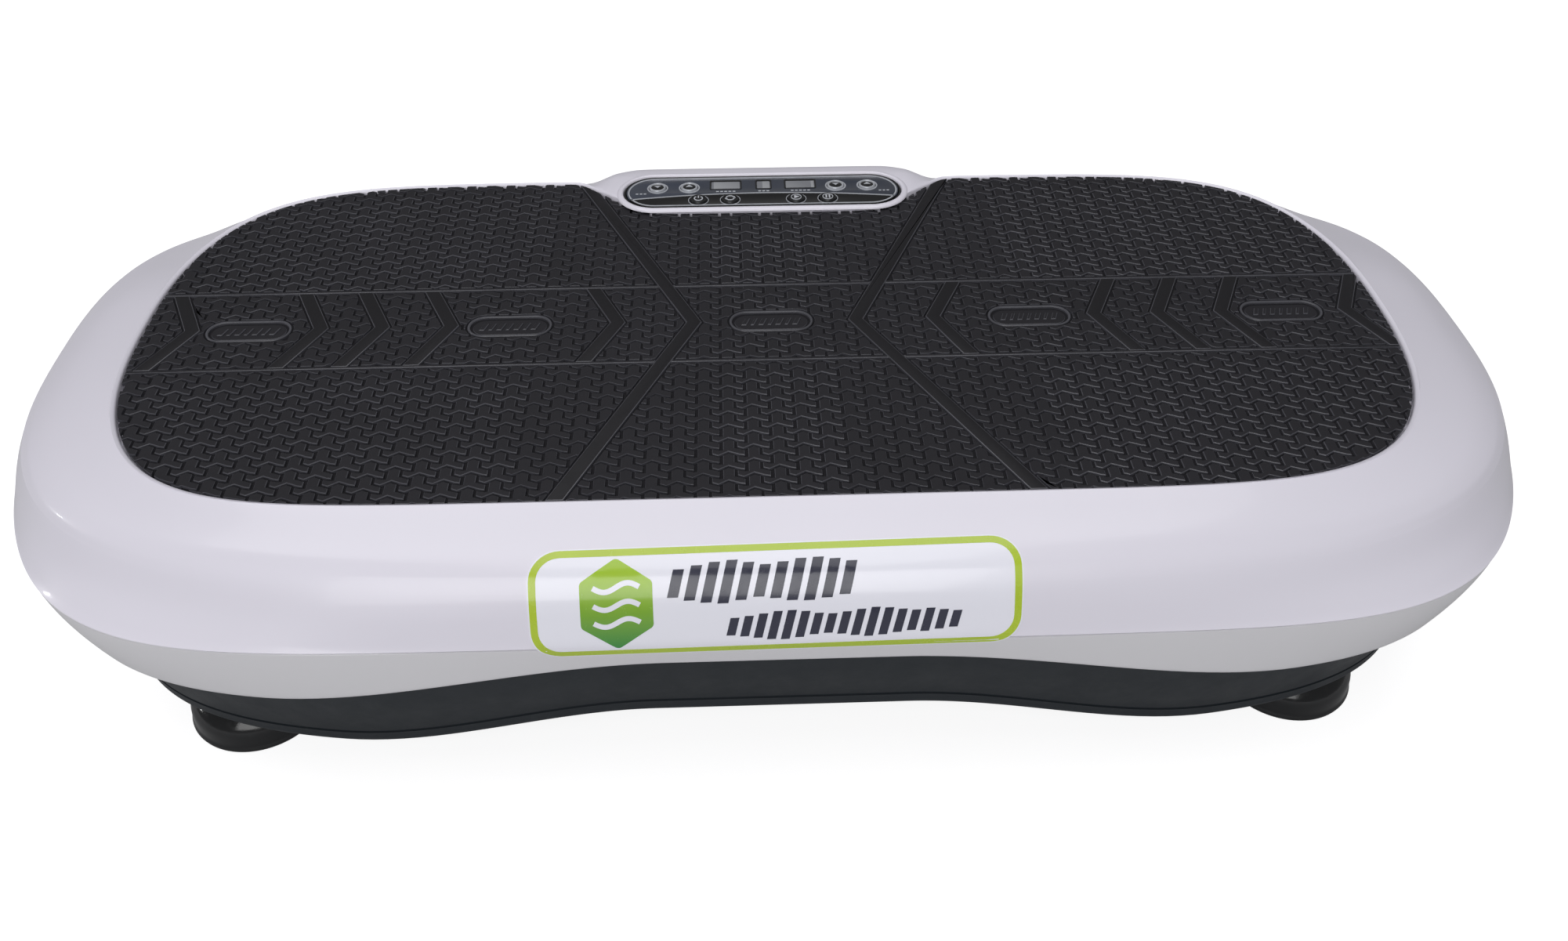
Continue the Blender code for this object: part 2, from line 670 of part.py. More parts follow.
def build_supports():
    """Brackets of the pivot axle and bearing blocks of the crank shaft."""
    for end, side in FRONT_AND_REAR:
        upright(
            f"pivot_bracket_{end}", side * 0.085, x=0, z=PIVOT_Z, head_radius=0.0160,
            bore_radius=0.0083, half_foot=0.030, thickness=0.008, mat="steel_painted",
        )
        upright(
            f"bearing_block_{end}", side * 0.036, x=CRANK_X, z=CRANK_Z, head_radius=0.0120,
            bore_radius=0.00612, half_foot=0.022, thickness=0.012, mat="aluminium",
        )


def build_pivot():
    centre = (0, 0, PIVOT_Z)
    rod("pivot_axle", 0.0080, 0.196, centre, "Y", 28, "steel_zinc")
    tube = rect(0.0130 - 0.0103, 2 * TUBE_HALF_LENGTH, (0.0130 + 0.0103) / 2, 0)
    tube = [tube[2], tube[1], tube[0], tube[3]]  # outer wall first
    lathe("pivot_tube", tube, centre, "Y", "steel_zinc", 28, closed=True)
    for (end, side), axis in zip(FRONT_AND_REAR, ("-Y", "Y")):
        at = (0, side * BUSH_Y, PIVOT_Z)
        lathe(f"pivot_bush_{end}", BUSH_PROFILE, at, axis, "bronze", 28, closed=True)


# ---------------------------------------------------------------- motor
CAN_Y, CAN_LENGTH, CAN_WALL = -0.0480, 0.1000, 0.0020  # front end, length, wall
CAN_PROFILE = [
    (0.0, CAN_WALL), (MOTOR_RADIUS - CAN_WALL, CAN_WALL), (MOTOR_RADIUS - CAN_WALL, CAN_LENGTH),
    (MOTOR_RADIUS, CAN_LENGTH), (MOTOR_RADIUS, 0.0), (0.0, 0.0),
]
END_CAP_PROFILE = [
    (MOTOR_RADIUS, 0.005), (MOTOR_RADIUS, 0.0), (MOTOR_RADIUS - 0.0024, 0.0),
    (MOTOR_RADIUS - 0.0024, -0.004), (0.0044, -0.004), (0.0044, 0.005),
]
# armature and its shaft, which turn as one piece
ROTOR_PROFILE = [
    (0.0, 0.1360), (0.0040, 0.1360), (0.0040, 0.0860), (0.0110, 0.0860), (0.0110, 0.0720),
    (0.0190, 0.0680), (0.0190, 0.0120), (0.0060, 0.0060), (0.0060, 0.0030), (0.0, 0.0030),
]


def build_motor():
    can_at = (MOTOR_X, CAN_Y, MOTOR_Z)
    cap_at = (MOTOR_X, CAN_Y + CAN_LENGTH + GAP, MOTOR_Z)
    lathe("motor_can", CAN_PROFILE, can_at, "Y", "steel_painted", 24)
    lathe("motor_end_cap", END_CAP_PROFILE, cap_at, "Y", "aluminium", 24, closed=True)
    lathe("motor_rotor", ROTOR_PROFILE, can_at, "Y", "copper_winding", 16)


def build_motor_cradle():
    """Block under the motor with a round seat; its outline is centred on MOTOR_X."""
    half_foot, half_seat, foot_top = 0.030, 0.0262, CHASSIS_Z1 + 0.003
    outer = [(-half_foot, SEAT_Z), (half_foot, SEAT_Z), (half_foot, foot_top), (half_seat, foot_top)]
    outer += arc(MOTOR_RADIUS + GAP * 2, math.radians(-38), math.radians(-142), 12, 0, MOTOR_Z)
    outer += [(-half_seat, foot_top), (-half_foot, foot_top)]
    plate("motor_cradle", [outer], 0.060, (MOTOR_X, 0, 0), "steel_painted", STANDING)


# ---------------------------------------------------------------- belt drive and crank
def build_belt_drive():
    half = PULLEY_HALF_WIDTH
    motor_bore, crank_bore = 0.0043, 0.0063
    motor_profile = [
        (MOTOR_PULLEY_RADIUS, half), (MOTOR_PULLEY_RADIUS, -half),
        (motor_bore, -half), (motor_bore, half),
    ]
    # with a ring-shaped recess in the rear face
    crank_profile = [
        (CRANK_PULLEY_RADIUS, half), (CRANK_PULLEY_RADIUS, -half),
        (crank_bore, -half), (crank_bore, half),
        (0.0110, half), (0.0125, 0.0030), (0.0200, 0.0030), (0.0210, half),
    ]
    for name, profile, x, z, steps in (
        ("motor_pulley", motor_profile, MOTOR_X, MOTOR_Z, 16),
        ("crank_pulley", crank_profile, CRANK_X, CRANK_Z, 24),
    ):
        lathe(name, profile, (x, PULLEY_Y, z), "Y", "aluminium", steps, closed=True)
    # outer and inner face of the belt, as offsets from the pulleys
    loops = [
        wrap(
            (CRANK_X, CRANK_Z), CRANK_PULLEY_RADIUS + offset,
            (MOTOR_X, MOTOR_Z), MOTOR_PULLEY_RADIUS + offset, 18,
        )
        for offset in (0.0020, 0.0004)
    ]
    plate("drive_belt", loops, 0.009, (0, PULLEY_Y, 0), "belt_black", STANDING)


def build_crank():
    """Eccentric shaft and connecting rod, with the journal one throw to the right."""
    journal_x = CRANK_X + THROW
    shaft = rod("crank_shaft", 0.0060, 0.134, (CRANK_X, 0.021, CRANK_Z), "Y", 28, "steel_zinc")
    boolean(shaft, "UNION", rod("journal", 0.0090, 0.015, (journal_x, 0, CRANK_Z), "Y", 32))
    rod_length = WRIST_Z - CRANK_Z
    loops = [
        wrap((0, 0), 0.0140, (0, rod_length), 0.0122, 12),
        circle(0.00915, 32),
        circle(0.0089, 28, 0, rod_length),
    ]
    plate("connecting_rod", loops, 0.012, (journal_x, 0, CRANK_Z), "aluminium", STANDING)
    rod("wrist_pin", 0.0050, 0.036, (CRANK_X, 0, WRIST_Z), "Y", 24, "steel_zinc")


# ---------------------------------------------------------------- rocking frame
RAIL_Y, RAIL_Z, CROSS_Z = 0.055, 0.118, 0.1182
RAIL_SIZE, CROSS_SIZE = (0.470, 0.012, 0.012), (0.014, 0.104, 0.009)


def hanger(name, y, mat=None):
    """Plate that hangs from a rail, round below, with a bore for the pivot tube."""
    outer = arc(0.0175, math.radians(200), math.radians(340), 8, 0, PIVOT_Z)
    outer += [(0.034, 0.1135), (0.033, RAIL_Z), (-0.033, RAIL_Z), (-0.034, 0.1135)]
    loops = [outer, circle(0.0133, 28, 0, PIVOT_Z)]
    return welded(plate(name, loops, 0.0112, (0, y, 0), rot=STANDING), mat)


def build_rocker_frame():
    frame = hanger("rocker_frame", -RAIL_Y, "steel_painted")
    boolean(
        frame, "UNION",
        box("rail_front", RAIL_SIZE, (0, -RAIL_Y, RAIL_Z)),
        box("cross_mid", CROSS_SIZE, (-0.060, 0, CROSS_Z)),
        box("rail_rear", RAIL_SIZE, (0, RAIL_Y, RAIL_Z)),
        hanger("hanger_rear", RAIL_Y),
    )
    for k, x in enumerate((-0.205, 0.060, 0.205)):
        boolean(frame, "UNION", box(f"cross_{k}", CROSS_SIZE, (x, 0, CROSS_Z)))


def build_deck():
    loops = [
        [outline_point(2 * math.pi * i / 48, *DECK) for i in range(48)],
        round_rect(0.110, 0.060, -0.130, 0, 0.015, 3),
        round_rect(0.040, 0.050, 0.155, 0, 0.012, 3),
    ]
    plate("deck_plate", loops, 0.0042, (0, 0, 0.1266), "grey_plastic")


def build_yoke():
    """Top plate with two cheeks that hold the wrist pin."""
    width = 0.022
    yoke = box("drive_yoke", (width, 0.044, 0.0027), (CRANK_X, 0, 0.12285), "steel_painted")
    for k, y in enumerate((-0.014, 0.014)):
        cheek = box(f"cheek_{k}", (width, 0.004, 0.0275), (CRANK_X, y, 0.10925))
        boolean(yoke, "UNION", cheek)
    boolean(yoke, "DIFFERENCE", rod("cut_wrist", 0.0053, 0.050, (CRANK_X, 0, WRIST_Z), "Y", 24))


# ---------------------------------------------------------------- electronics
BOARD_X, BOARD_Y = -0.1500, -0.0100
COMPONENT_Z = 0.0622  # underside of what stands on the power board
LEAD_RADIUS = 0.0022
LEAD_PATH = [  # x, y, z from the power board to the motor
    (-0.104, 0.022, 0.0648), (-0.090, 0.022, 0.0648), (-0.084, 0.022, 0.0630),
    (-0.078, 0.022, 0.0585), (-0.070, 0.022, 0.0567), (0.060, 0.0195, 0.0567),
    (0.136, 0.0190, 0.0567), (0.146, 0.0190, 0.0590), (0.152, 0.0190, 0.0650),
    (0.1560, 0.0190, 0.0730),
]


def build_boards():
    centre = (BOARD_X, BOARD_Y, 0.0592)
    carrier = box("board_carrier", (0.118, 0.096, 0.0016), centre, "grey_plastic")
    for k, (_, side_x, side_y) in enumerate(CORNERS):
        at = (BOARD_X + side_x * 0.052, BOARD_Y + side_y * 0.041, 0.05615)
        boolean(carrier, "UNION", box(f"post_{k}", (0.008, 0.008, 0.0057), at))
    box("power_board", (0.112, 0.090, 0.0016), (BOARD_X, BOARD_Y, 0.0611), "board_green")


def build_components():
    core_height = 0.032
    at = (-0.125, -0.012, COMPONENT_Z + core_height / 2)
    core = box("transformer", (0.044, 0.020, core_height), at, "copper_winding", bevel=0.001)
    boolean(core, "UNION", box("winding", (0.030, 0.036, 0.024), at, bevel=0.003))

    sink_x, sink_height, fin_pitch = -0.180, 0.028, 0.0075
    sink_z = COMPONENT_Z + sink_height / 2
    sink = box("heat_sink", (0.040, 0.003, sink_height), (sink_x, 0.0195, sink_z), "aluminium")
    for k in range(6):
        fin_at = (sink_x + (k - 2.5) * fin_pitch, 0.0267, sink_z)
        boolean(sink, "UNION", box(f"fin_{k}", (0.0025, 0.0140, 0.0270), fin_at))

    height = 0.026
    at = (-0.190, -0.022, COMPONENT_Z + height / 2)
    rod("capacitor", 0.0090, height, at, "Z", 20, "black_plastic")


def build_motor_lead():
    curve = bpy.data.curves.new("motor_lead", "CURVE")
    curve.dimensions, curve.use_fill_caps = "3D", True
    curve.bevel_depth, curve.bevel_resolution = LEAD_RADIUS, 2
    spline = curve.splines.new("POLY")
    spline.points.add(len(LEAD_PATH) - 1)
    for point, place in zip(spline.points, LEAD_PATH):
        point.co = (*place, 1)
    add("motor_lead", curve, "buffer_rubber")


# ---------------------------------------------------------------- mains inlet, rear left
SOCKET_X, SOCKET_WIDTH, SOCKET_HEIGHT = -0.1780, 0.0270, 0.0200
SWITCH_X, SWITCH_WIDTH, SWITCH_HEIGHT = -0.1485, 0.0140, 0.0210
SWITCH_Y, SWITCH_TILT = 0.1410, math.radians(-8)
SWITCH_OUTLINE = [  # y, z about the tilt axis
    (-0.0045, -0.0055), (0.0030, -0.0080), (0.0016, 0.0), (0.0030, 0.0080), (-0.0045, 0.0055),
]


def build_inlet_panel():
    size = (INLET_WIDTH, 0.0145, INLET_HEIGHT)
    panel = box("inlet_panel", size, (INLET_X, 0.14375, INLET_Z), "black_plastic")
    # name, width in X, depth in Y, height in Z, x, y
    for name, width, depth, height, x, y in (
        ("cut_bucket", 0.0626, 0.0200, 0.0236, INLET_X, 0.1495),
        ("cut_socket", SOCKET_WIDTH + 2 * GAP, 0.04, SOCKET_HEIGHT + 2 * GAP, SOCKET_X, 0.14),
        ("cut_switch", SWITCH_WIDTH + 2 * GAP, 0.04, SWITCH_HEIGHT + 2 * GAP, SWITCH_X, 0.14),
    ):
        boolean(panel, "DIFFERENCE", box(name, (width, depth, height), (x, y, INLET_Z)))


def build_socket():
    size, at = (SOCKET_WIDTH, 0.0280, SOCKET_HEIGHT), (SOCKET_X, 0.1325, INLET_Z)
    socket = box("mains_socket", size, at, "black_plastic", bevel=0.001)
    well = box("cut_well", (0.0230, 0.0200, 0.0160), (SOCKET_X, 0.1395, INLET_Z))
    boolean(socket, "DIFFERENCE", well)
    for k, (dx, dz) in enumerate(((-0.007, -0.002), (0.0, 0.003), (0.007, -0.002))):
        pin_at = (SOCKET_X + dx, 0.1360, INLET_Z + dz)
        boolean(socket, "UNION", box(f"pin_{k}", (0.0020, 0.0150, 0.0040), pin_at))


def build_switch():
    size, at = (SWITCH_WIDTH, 0.0210, SWITCH_HEIGHT), (SWITCH_X, 0.1350, INLET_Z)
    frame = box("switch_frame", size, at, "black_plastic", bevel=0.0008)
    opening = box("cut_frame", (0.0106, 0.0200, 0.0174), (SWITCH_X, 0.1385, INLET_Z))
    boolean(frame, "DIFFERENCE", opening)
    cos, sin = math.cos(SWITCH_TILT), math.sin(SWITCH_TILT)
    tilted = [(y * cos - z * sin, y * sin + z * cos) for y, z in SWITCH_OUTLINE]
    across = (math.radians(90), 0, math.radians(90))  # stands the outline in the YZ plane
    at = (SWITCH_X, SWITCH_Y, INLET_Z)
    plate("switch_rocker", [tilted], 0.0099, at, "grey_plastic", across)


# ---------------------------------------------------------------- console
BEZEL_TOP_Z, BEZEL_HEIGHT = 0.1382, 0.0084
KEY_RADIUS, KEY_Z = 0.0044, 0.1320
UPPER_Y, LOWER_Y = 0.1140, 0.1012  # the two rows of keys
UPPER_INNER, UPPER_OUTER = 0.0375, 0.0537
LOWER_INNER, LOWER_OUTER = 0.0167, 0.03275
KEYS = {  # name: (x, y)
    "key_time_up": (-UPPER_INNER, UPPER_Y),
    "key_speed_down": (UPPER_INNER, UPPER_Y),
    "key_time_down": (-UPPER_OUTER, UPPER_Y),
    "key_speed_up": (UPPER_OUTER, UPPER_Y),
    "key_mode": (-LOWER_INNER, LOWER_Y),
    "key_start": (LOWER_INNER, LOWER_Y),
    "key_power": (-LOWER_OUTER, LOWER_Y),
    "key_pause": (LOWER_OUTER, LOWER_Y),
}
KEY_PROFILE = [
    (0.0, 0.0072), (0.0030, 0.0069), (KEY_RADIUS - 0.0001, 0.0058),
    (KEY_RADIUS - 0.0001, 0.0), (0.0, 0.0),
]
DISPLAY_Y, DISPLAY_DEPTH = 0.1166, 0.0082
DISPLAYS = {  # name: (x, width)
    "time_display": (-0.0189, 0.0150),
    "mode_display": (0.0005, 0.0070),
    "speed_display": (0.0193, 0.0150),
}


def build_console():
    bezel = [
        stadium(PANEL_HALF_LENGTH - GAP, PANEL_HALF_WIDTH - GAP, PANEL_Y),
        stadium(0.0697, 0.0150, PANEL_Y),
    ]
    bezel_at = (0, 0, BEZEL_TOP_Z - BEZEL_HEIGHT / 2)
    plate("console_bezel", bezel, BEZEL_HEIGHT, bezel_at, "black_plastic")

    panel = [stadium(0.0694, 0.0147, PANEL_Y)]
    panel += [circle(KEY_RADIUS + 0.0003, 14, x, y) for x, y in KEYS.values()]
    panel += [
        rect(width + 0.0004, DISPLAY_DEPTH + 0.0004, x, DISPLAY_Y)
        for x, width in DISPLAYS.values()
    ]
    plate("control_panel", panel, 0.0016, (0, 0, 0.1372), "panel_slate")
    board = [stadium(0.0689, 0.0146, PANEL_Y)]
    plate("console_pcb", board, 0.0016, (0, 0, 0.1304), "board_green")
    for name, (x, width) in DISPLAYS.items():
        box(name, (width, DISPLAY_DEPTH, 0.0062), (x, DISPLAY_Y, 0.1346), "display_grey")
    for name, (x, y) in KEYS.items():
        lathe(name, KEY_PROFILE, (x, y, KEY_Z), "Z", "key_chrome", 12)


# ---------------------------------------------------------------- assembly
for build in (
    build_top_shell, build_skirt, build_mat, build_base_tray, build_label,
    build_feet_and_buffers, build_chassis, build_supports, build_pivot,
    build_motor, build_motor_cradle, build_belt_drive, build_crank,
    build_rocker_frame, build_deck, build_yoke,
    build_boards, build_components, build_motor_lead,
    build_inlet_panel, build_socket, build_switch, build_console,
):
    build()
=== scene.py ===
# A motor-driven foot platform, about 0.66 m wide and 0.34 m deep, standing on the plane z = 0.
# X runs across, the front faces -Y and Z is up. The console lies at the rear middle of the
# top, a badge wraps the middle of the front, and the mains inlet sits in the rear wall.
# Lengths are metres; the tread of the mat is drawn in millimetres and scaled when built.
import math
from collections import namedtuple

import bmesh
import bpy
import numpy as np
from mathutils import Matrix, Vector
from mathutils.geometry import delaunay_2d_cdt


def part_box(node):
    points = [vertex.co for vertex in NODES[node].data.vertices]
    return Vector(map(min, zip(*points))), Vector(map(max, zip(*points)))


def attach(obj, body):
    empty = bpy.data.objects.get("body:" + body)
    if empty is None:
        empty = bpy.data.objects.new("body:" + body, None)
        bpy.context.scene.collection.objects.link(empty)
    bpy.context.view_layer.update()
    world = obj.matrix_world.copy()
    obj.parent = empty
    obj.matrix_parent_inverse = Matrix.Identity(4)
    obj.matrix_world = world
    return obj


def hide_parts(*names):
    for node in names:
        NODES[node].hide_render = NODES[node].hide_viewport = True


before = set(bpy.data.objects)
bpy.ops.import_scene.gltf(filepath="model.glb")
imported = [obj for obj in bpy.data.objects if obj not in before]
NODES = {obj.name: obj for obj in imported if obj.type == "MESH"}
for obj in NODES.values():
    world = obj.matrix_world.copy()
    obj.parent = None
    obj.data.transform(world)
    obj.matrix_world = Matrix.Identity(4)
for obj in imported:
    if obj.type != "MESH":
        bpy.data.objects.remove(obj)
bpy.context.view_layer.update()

# ================================================================= driving dimensions
# An outline is |x/a|^n + |y/b|^m = 1, given as (a, b, n, m)
MAT = (0.2772, 0.1236, 7.9, 2.41)

# Levels of the upper housing, top to bottom. sink: how far the rear half drops below z
Level = namedtuple("Level", "shape z sink")
CREST = Level((0.2805, 0.1268, 7.4, 2.45), 0.1370, 0.0030)
SLOPE = Level((0.3020, 0.1455, 5.6, 2.70), 0.1313, 0.0070)
SHOULDER = Level((0.3135, 0.1540, 4.6, 2.78), 0.1265, 0.0074)
CREASE = Level((0.3195, 0.1592, 4.3, 2.62), 0.1226, 0.0062)
WALL = Level((0.3265, 0.1636, 5.2, 2.20), 0.1117, 0.0020)
PARTING = Level((0.3320, 0.1675, 7.6, 1.65), 0.1008, 0.0)
RIM_SINK = 0.0010
SINK_X0, SINK_X1 = 0.275, 0.320  # the sink fades out over this span of |x|
SINK_Y0, SINK_Y1 = 0.020, 0.085  # and comes in over this span of y

SKIRT_TOP, SKIRT_TOP_Z = (0.3318, 0.1673, 7.6, 1.65), 0.1003
SKIRT_END, SKIRT_END_Z = (0.3080, 0.1646, 6.0, 3.00), 0.0690
BASE_TOP, BASE_TOP_Z = (0.2990, 0.1602, 5.0, 3.20), 0.0800
BASE_MID, BASE_MID_Z = (0.2980, 0.1560, 4.8, 3.35), 0.0530
BASE_LOW, BASE_LOW_Z = (0.2960, 0.1486, 4.5, 3.60), 0.0245
BASE_BOTTOM_Z = 0.0215
SHELL = 0.0026

# arches: rise in the middle, and the span of |x| over which it falls to nothing
SKIRT_RISE, SKIRT_X0, SKIRT_X1 = 0.0190, 0.045, 0.205
TRAY_TOP_RISE = 0.0170
FLOOR_RISE, FLOOR_X0, FLOOR_X1 = 0.0198, 0.052, 0.184

RECESS_Z, RIM_Z, POD_Z = 0.1320, 0.1366, 0.1378
MAT_BOTTOM_Z, MAT_FLOOR_Z, MAT_TOP_Z = 0.1323, 0.1350, 0.1362
# the mat's rear edge is notched in the middle to clear the console pod
NOTCH_Y, NOTCH_X, NOTCH_ROUND, NOTCH_BLEND = 0.0910, 0.0605, 0.0050, 0.003
POD_BACK_Y, POD_X0, POD_X1 = 0.1335, 0.0620, 0.0900
POD_LIFT = POD_Z - RIM_Z
POD_PUSH = POD_BACK_Y - CREST.shape[1]
PANEL_Y, PANEL_HALF_LENGTH, PANEL_HALF_WIDTH = 0.1101, 0.0714, 0.0167
# the console's dividing arc: y = ARC_Y - ARC_BEND * x^2
ARC_Y, ARC_BEND = 0.1079, 1.12

QUADRANT_STATIONS = 104
UPPER_KEYS = ("key_time_down", "key_time_up", "key_speed_down", "key_speed_up")
LOWER_KEYS = ("key_power", "key_mode", "key_start", "key_pause")
FEET = ("foot_front_left", "foot_front_right", "foot_rear_left", "foot_rear_right")


# ================================================================= rings of stations
def ramp(x, start, end):
    """1 up to |x| = start, easing to 0 at |x| = end."""
    t = np.clip((np.abs(x) - start) / (end - start), 0.0, 1.0)
    return 1.0 - t * t * (3 - 2 * t)


def outline(shape, grow=0.0, angles=None):
    """Points of an outline at the station angles, its half axes enlarged by grow."""
    angles = ANGLES if angles is None else angles
    half_x, half_y, power_x, power_y = shape
    cos, sin = np.abs(np.cos(angles)), np.abs(np.sin(angles))
    low, high = np.full(len(angles), 0.5), np.full(len(angles), 1.5)
    for _ in range(46):
        mid = (low + high) / 2
        outside = (mid * cos) ** power_x + (mid * sin) ** power_y > 1
        high, low = np.where(outside, mid, high), np.where(outside, low, mid)
    return np.stack(
        [(half_x + grow) * low * np.cos(angles), (half_y + grow) * low * np.sin(angles)], 1
    )


def quadrant_angles(count):
    """Angles of one quadrant, spread by length and turning, and closer near the console."""
    angles = np.linspace(0, math.pi / 2, 3001)
    weight = np.zeros(3000)
    for shape in (CREASE.shape, MAT):
        points = outline(shape, angles=angles)
        steps = np.diff(points, axis=0)
        length = np.hypot(steps[:, 0], steps[:, 1])
        heading = np.unwrap(np.arctan2(steps[:, 1], steps[:, 0]))
        turn = np.abs(np.diff(heading, prepend=heading[0]))
        weight += length / 0.40 + turn / 1.6
        x, y = np.abs(points[1:, 0]), points[1:, 1]
        near_console = (x > 0.045) & (x < 0.105) & (y > 0.02)
        weight += near_console * length / 0.12
    total = np.concatenate([[0], np.cumsum(weight)])
    return np.interp(np.linspace(0, total[-1], count + 1), total, angles)


quadrant = quadrant_angles(QUADRANT_STATIONS)
right_side = np.concatenate([-quadrant[::-1], quadrant[1:]])  # front middle to rear middle
ANGLES = np.concatenate([right_side, math.pi - right_side[1:-1][::-1]])
STATIONS, RIGHT_STATIONS = len(ANGLES), len(right_side)


def notch_y(x, grow=0.0):
    t = np.abs(x) - NOTCH_X + 0.4 * grow
    return NOTCH_Y + grow + (t + np.sqrt(t * t + NOTCH_ROUND**2)) / 2


def soft_min(y, limit):
    return (y + limit - np.sqrt((y - limit) ** 2 + NOTCH_BLEND**2)) / 2


def ring(shape, z, grow=0.0, notch=None, pod=0.0, lift=0.0, arch=None, sink=0.0):
    """An outline at height z; pod and lift push the console's part rearward and up."""
    points = outline(shape, grow)
    x, y = points[:, 0], points[:, 1].copy()
    height = np.full(len(x), float(z))
    rear = y > 0.02
    if notch is not None:
        y = np.where(rear, soft_min(y, notch_y(x, notch)), y)
    if pod:
        y = np.where(rear, y + pod * ramp(x, POD_X0, POD_X1), y)
    if lift:
        height = np.where(rear, height + lift * ramp(x, POD_X0 + 0.012, POD_X1), height)
    if arch is not None:
        height = height + arch(x)
    if sink:
        drop = sink * ramp(x, SINK_X0, SINK_X1) * (1 - ramp(y, SINK_Y0, SINK_Y1))
        height = np.where(y > 0, height - drop, height)
    return np.stack([x, y, height], 1)


def mat_ring(z, grow, notch=None, **shifts):
    return ring(MAT, z, grow=grow, notch=grow if notch is None else notch, **shifts)


def rim_ring(z, grow, notch=None, less=0.0):
    """A ring round the mat that rises toward the console."""
    return mat_ring(z, grow, notch, lift=POD_LIFT + RIM_SINK - less, sink=RIM_SINK)


def level_ring(level, grow=0.0, drop=0.0):
    return ring(level.shape, level.z - drop, grow=grow, sink=level.sink)


def crest_ring(grow=0.0, drop=0.0, pod=POD_PUSH):
    lift = POD_Z - CREST.z + CREST.sink
    return ring(CREST.shape, CREST.z - drop, grow=grow, pod=pod, lift=lift, sink=CREST.sink)


def raised(row, height):
    return row + np.array([0, 0, height])


def curve_rows(keys, counts):
    """Rows on a smooth curve through key rings, station by station."""
    gaps = [np.linalg.norm(after - before, axis=1).mean() for before, after in zip(keys, keys[1:])]
    t = np.concatenate([[0], np.cumsum(gaps)])
    slopes = []
    for k in range(len(keys)):
        i, j = max(0, k - 1), min(len(keys) - 1, k + 1)
        slopes.append((keys[j] - keys[i]) / (t[j] - t[i]))
    rows = []
    for k, count in enumerate(counts):
        span = t[k + 1] - t[k]
        for step in range(count):
            u = step / count
            rows.append(
                (2 * u**3 - 3 * u**2 + 1) * keys[k]
                + (u**3 - 2 * u**2 + u) * span * slopes[k]
                + (3 * u**2 - 2 * u**3) * keys[k + 1]
                + (u**3 - u**2) * span * slopes[k + 1]
            )
    rows.append(keys[-1])
    return rows


# ================================================================= meshes
def shade(mesh, angle):
    """Smooth shading, with edges steeper than angle (degrees) kept sharp."""
    mesh.shade_smooth()
    mesh.set_sharp_from_angle(angle=math.radians(angle))


def build_mesh(name, verts, faces, angle, indices=None):
    mesh = bpy.data.meshes.new(name)
    mesh.from_pydata([tuple(vert) for vert in verts], [], faces)
    if indices:
        mesh.polygons.foreach_set("material_index", indices)
    bm = bmesh.new()
    bm.from_mesh(mesh)
    bmesh.ops.recalc_face_normals(bm, faces=bm.faces)
    bm.to_mesh(mesh)
    bm.free()
    if angle:
        shade(mesh, angle)
    return mesh


def clean_up(mesh, angle):
    """Welds and reshades a mesh that came from a boolean or a curve."""
    bm = bmesh.new()
    bm.from_mesh(mesh)
    bmesh.ops.remove_doubles(bm, verts=bm.verts, dist=1e-7)
    bmesh.ops.dissolve_degenerate(bm, edges=bm.edges, dist=1e-7)
    bmesh.ops.recalc_face_normals(bm, faces=bm.faces)
    bm.to_mesh(mesh)
    bm.free()
    shade(mesh, angle)
    mesh.materials.clear()


def bridge(faces, lower, upper, count):
    """Adds quads between two closed rows of count vertices."""
    for i in range(count):
        j = (i + 1) % count
        faces.append((lower + i, lower + j, upper + j, upper + i))


def loft(name, rows, caps=True, angle=32):
    """Closed body through rings: either the end rings are capped with strips laid across
    in Y, or the last row joins the first."""
    faces = []
    for k in range(len(rows) - 1):
        bridge(faces, k * STATIONS, (k + 1) * STATIONS, STATIONS)
    if caps:
        half = RIGHT_STATIONS // 2
        right_front = list(range(half + 1))
        right_rear = [RIGHT_STATIONS - 1 - k for k in range(half + 1)]
        left_front, left_rear = (
            [(STATIONS - k) % STATIONS for k in side] for side in (right_front, right_rear)
        )
        for base in (0, (len(rows) - 1) * STATIONS):
            for front, rear in ((right_front, right_rear), (left_front, left_rear)):
                for k in range(half):
                    corners = [front[k], front[k + 1], rear[k + 1], rear[k]]
                    faces.append(tuple(base + corner for corner in dict.fromkeys(corners)))
    else:
        bridge(faces, (len(rows) - 1) * STATIONS, 0, STATIONS)
    return build_mesh(name, np.concatenate(rows).tolist(), faces, angle)


def area_of(loop):
    here = np.asarray(loop, float)
    after = np.roll(here, -1, 0)
    return 0.5 * float((here[:, 0] * after[:, 1] - after[:, 0] * here[:, 1]).sum())


def ccw(loop):
    """The loop, turned round if it runs clockwise."""
    return list(loop) if area_of(loop) > 0 else list(loop)[::-1]


def offset_loop(loop, distance):
    """A closed loop moved outward by distance, with limited mitres."""
    points = np.asarray(ccw(loop), float)
    along = np.roll(points, -1, 0) - points
    along /= np.maximum(np.linalg.norm(along, axis=1), 1e-12)[:, None]
    normal = np.stack([along[:, 1], -along[:, 0]], 1)
    previous = np.roll(normal, 1, 0)
    spread = np.maximum(1 + (normal * previous).sum(1), 0.35)
    return points + (normal + previous) * (distance / spread)[:, None]


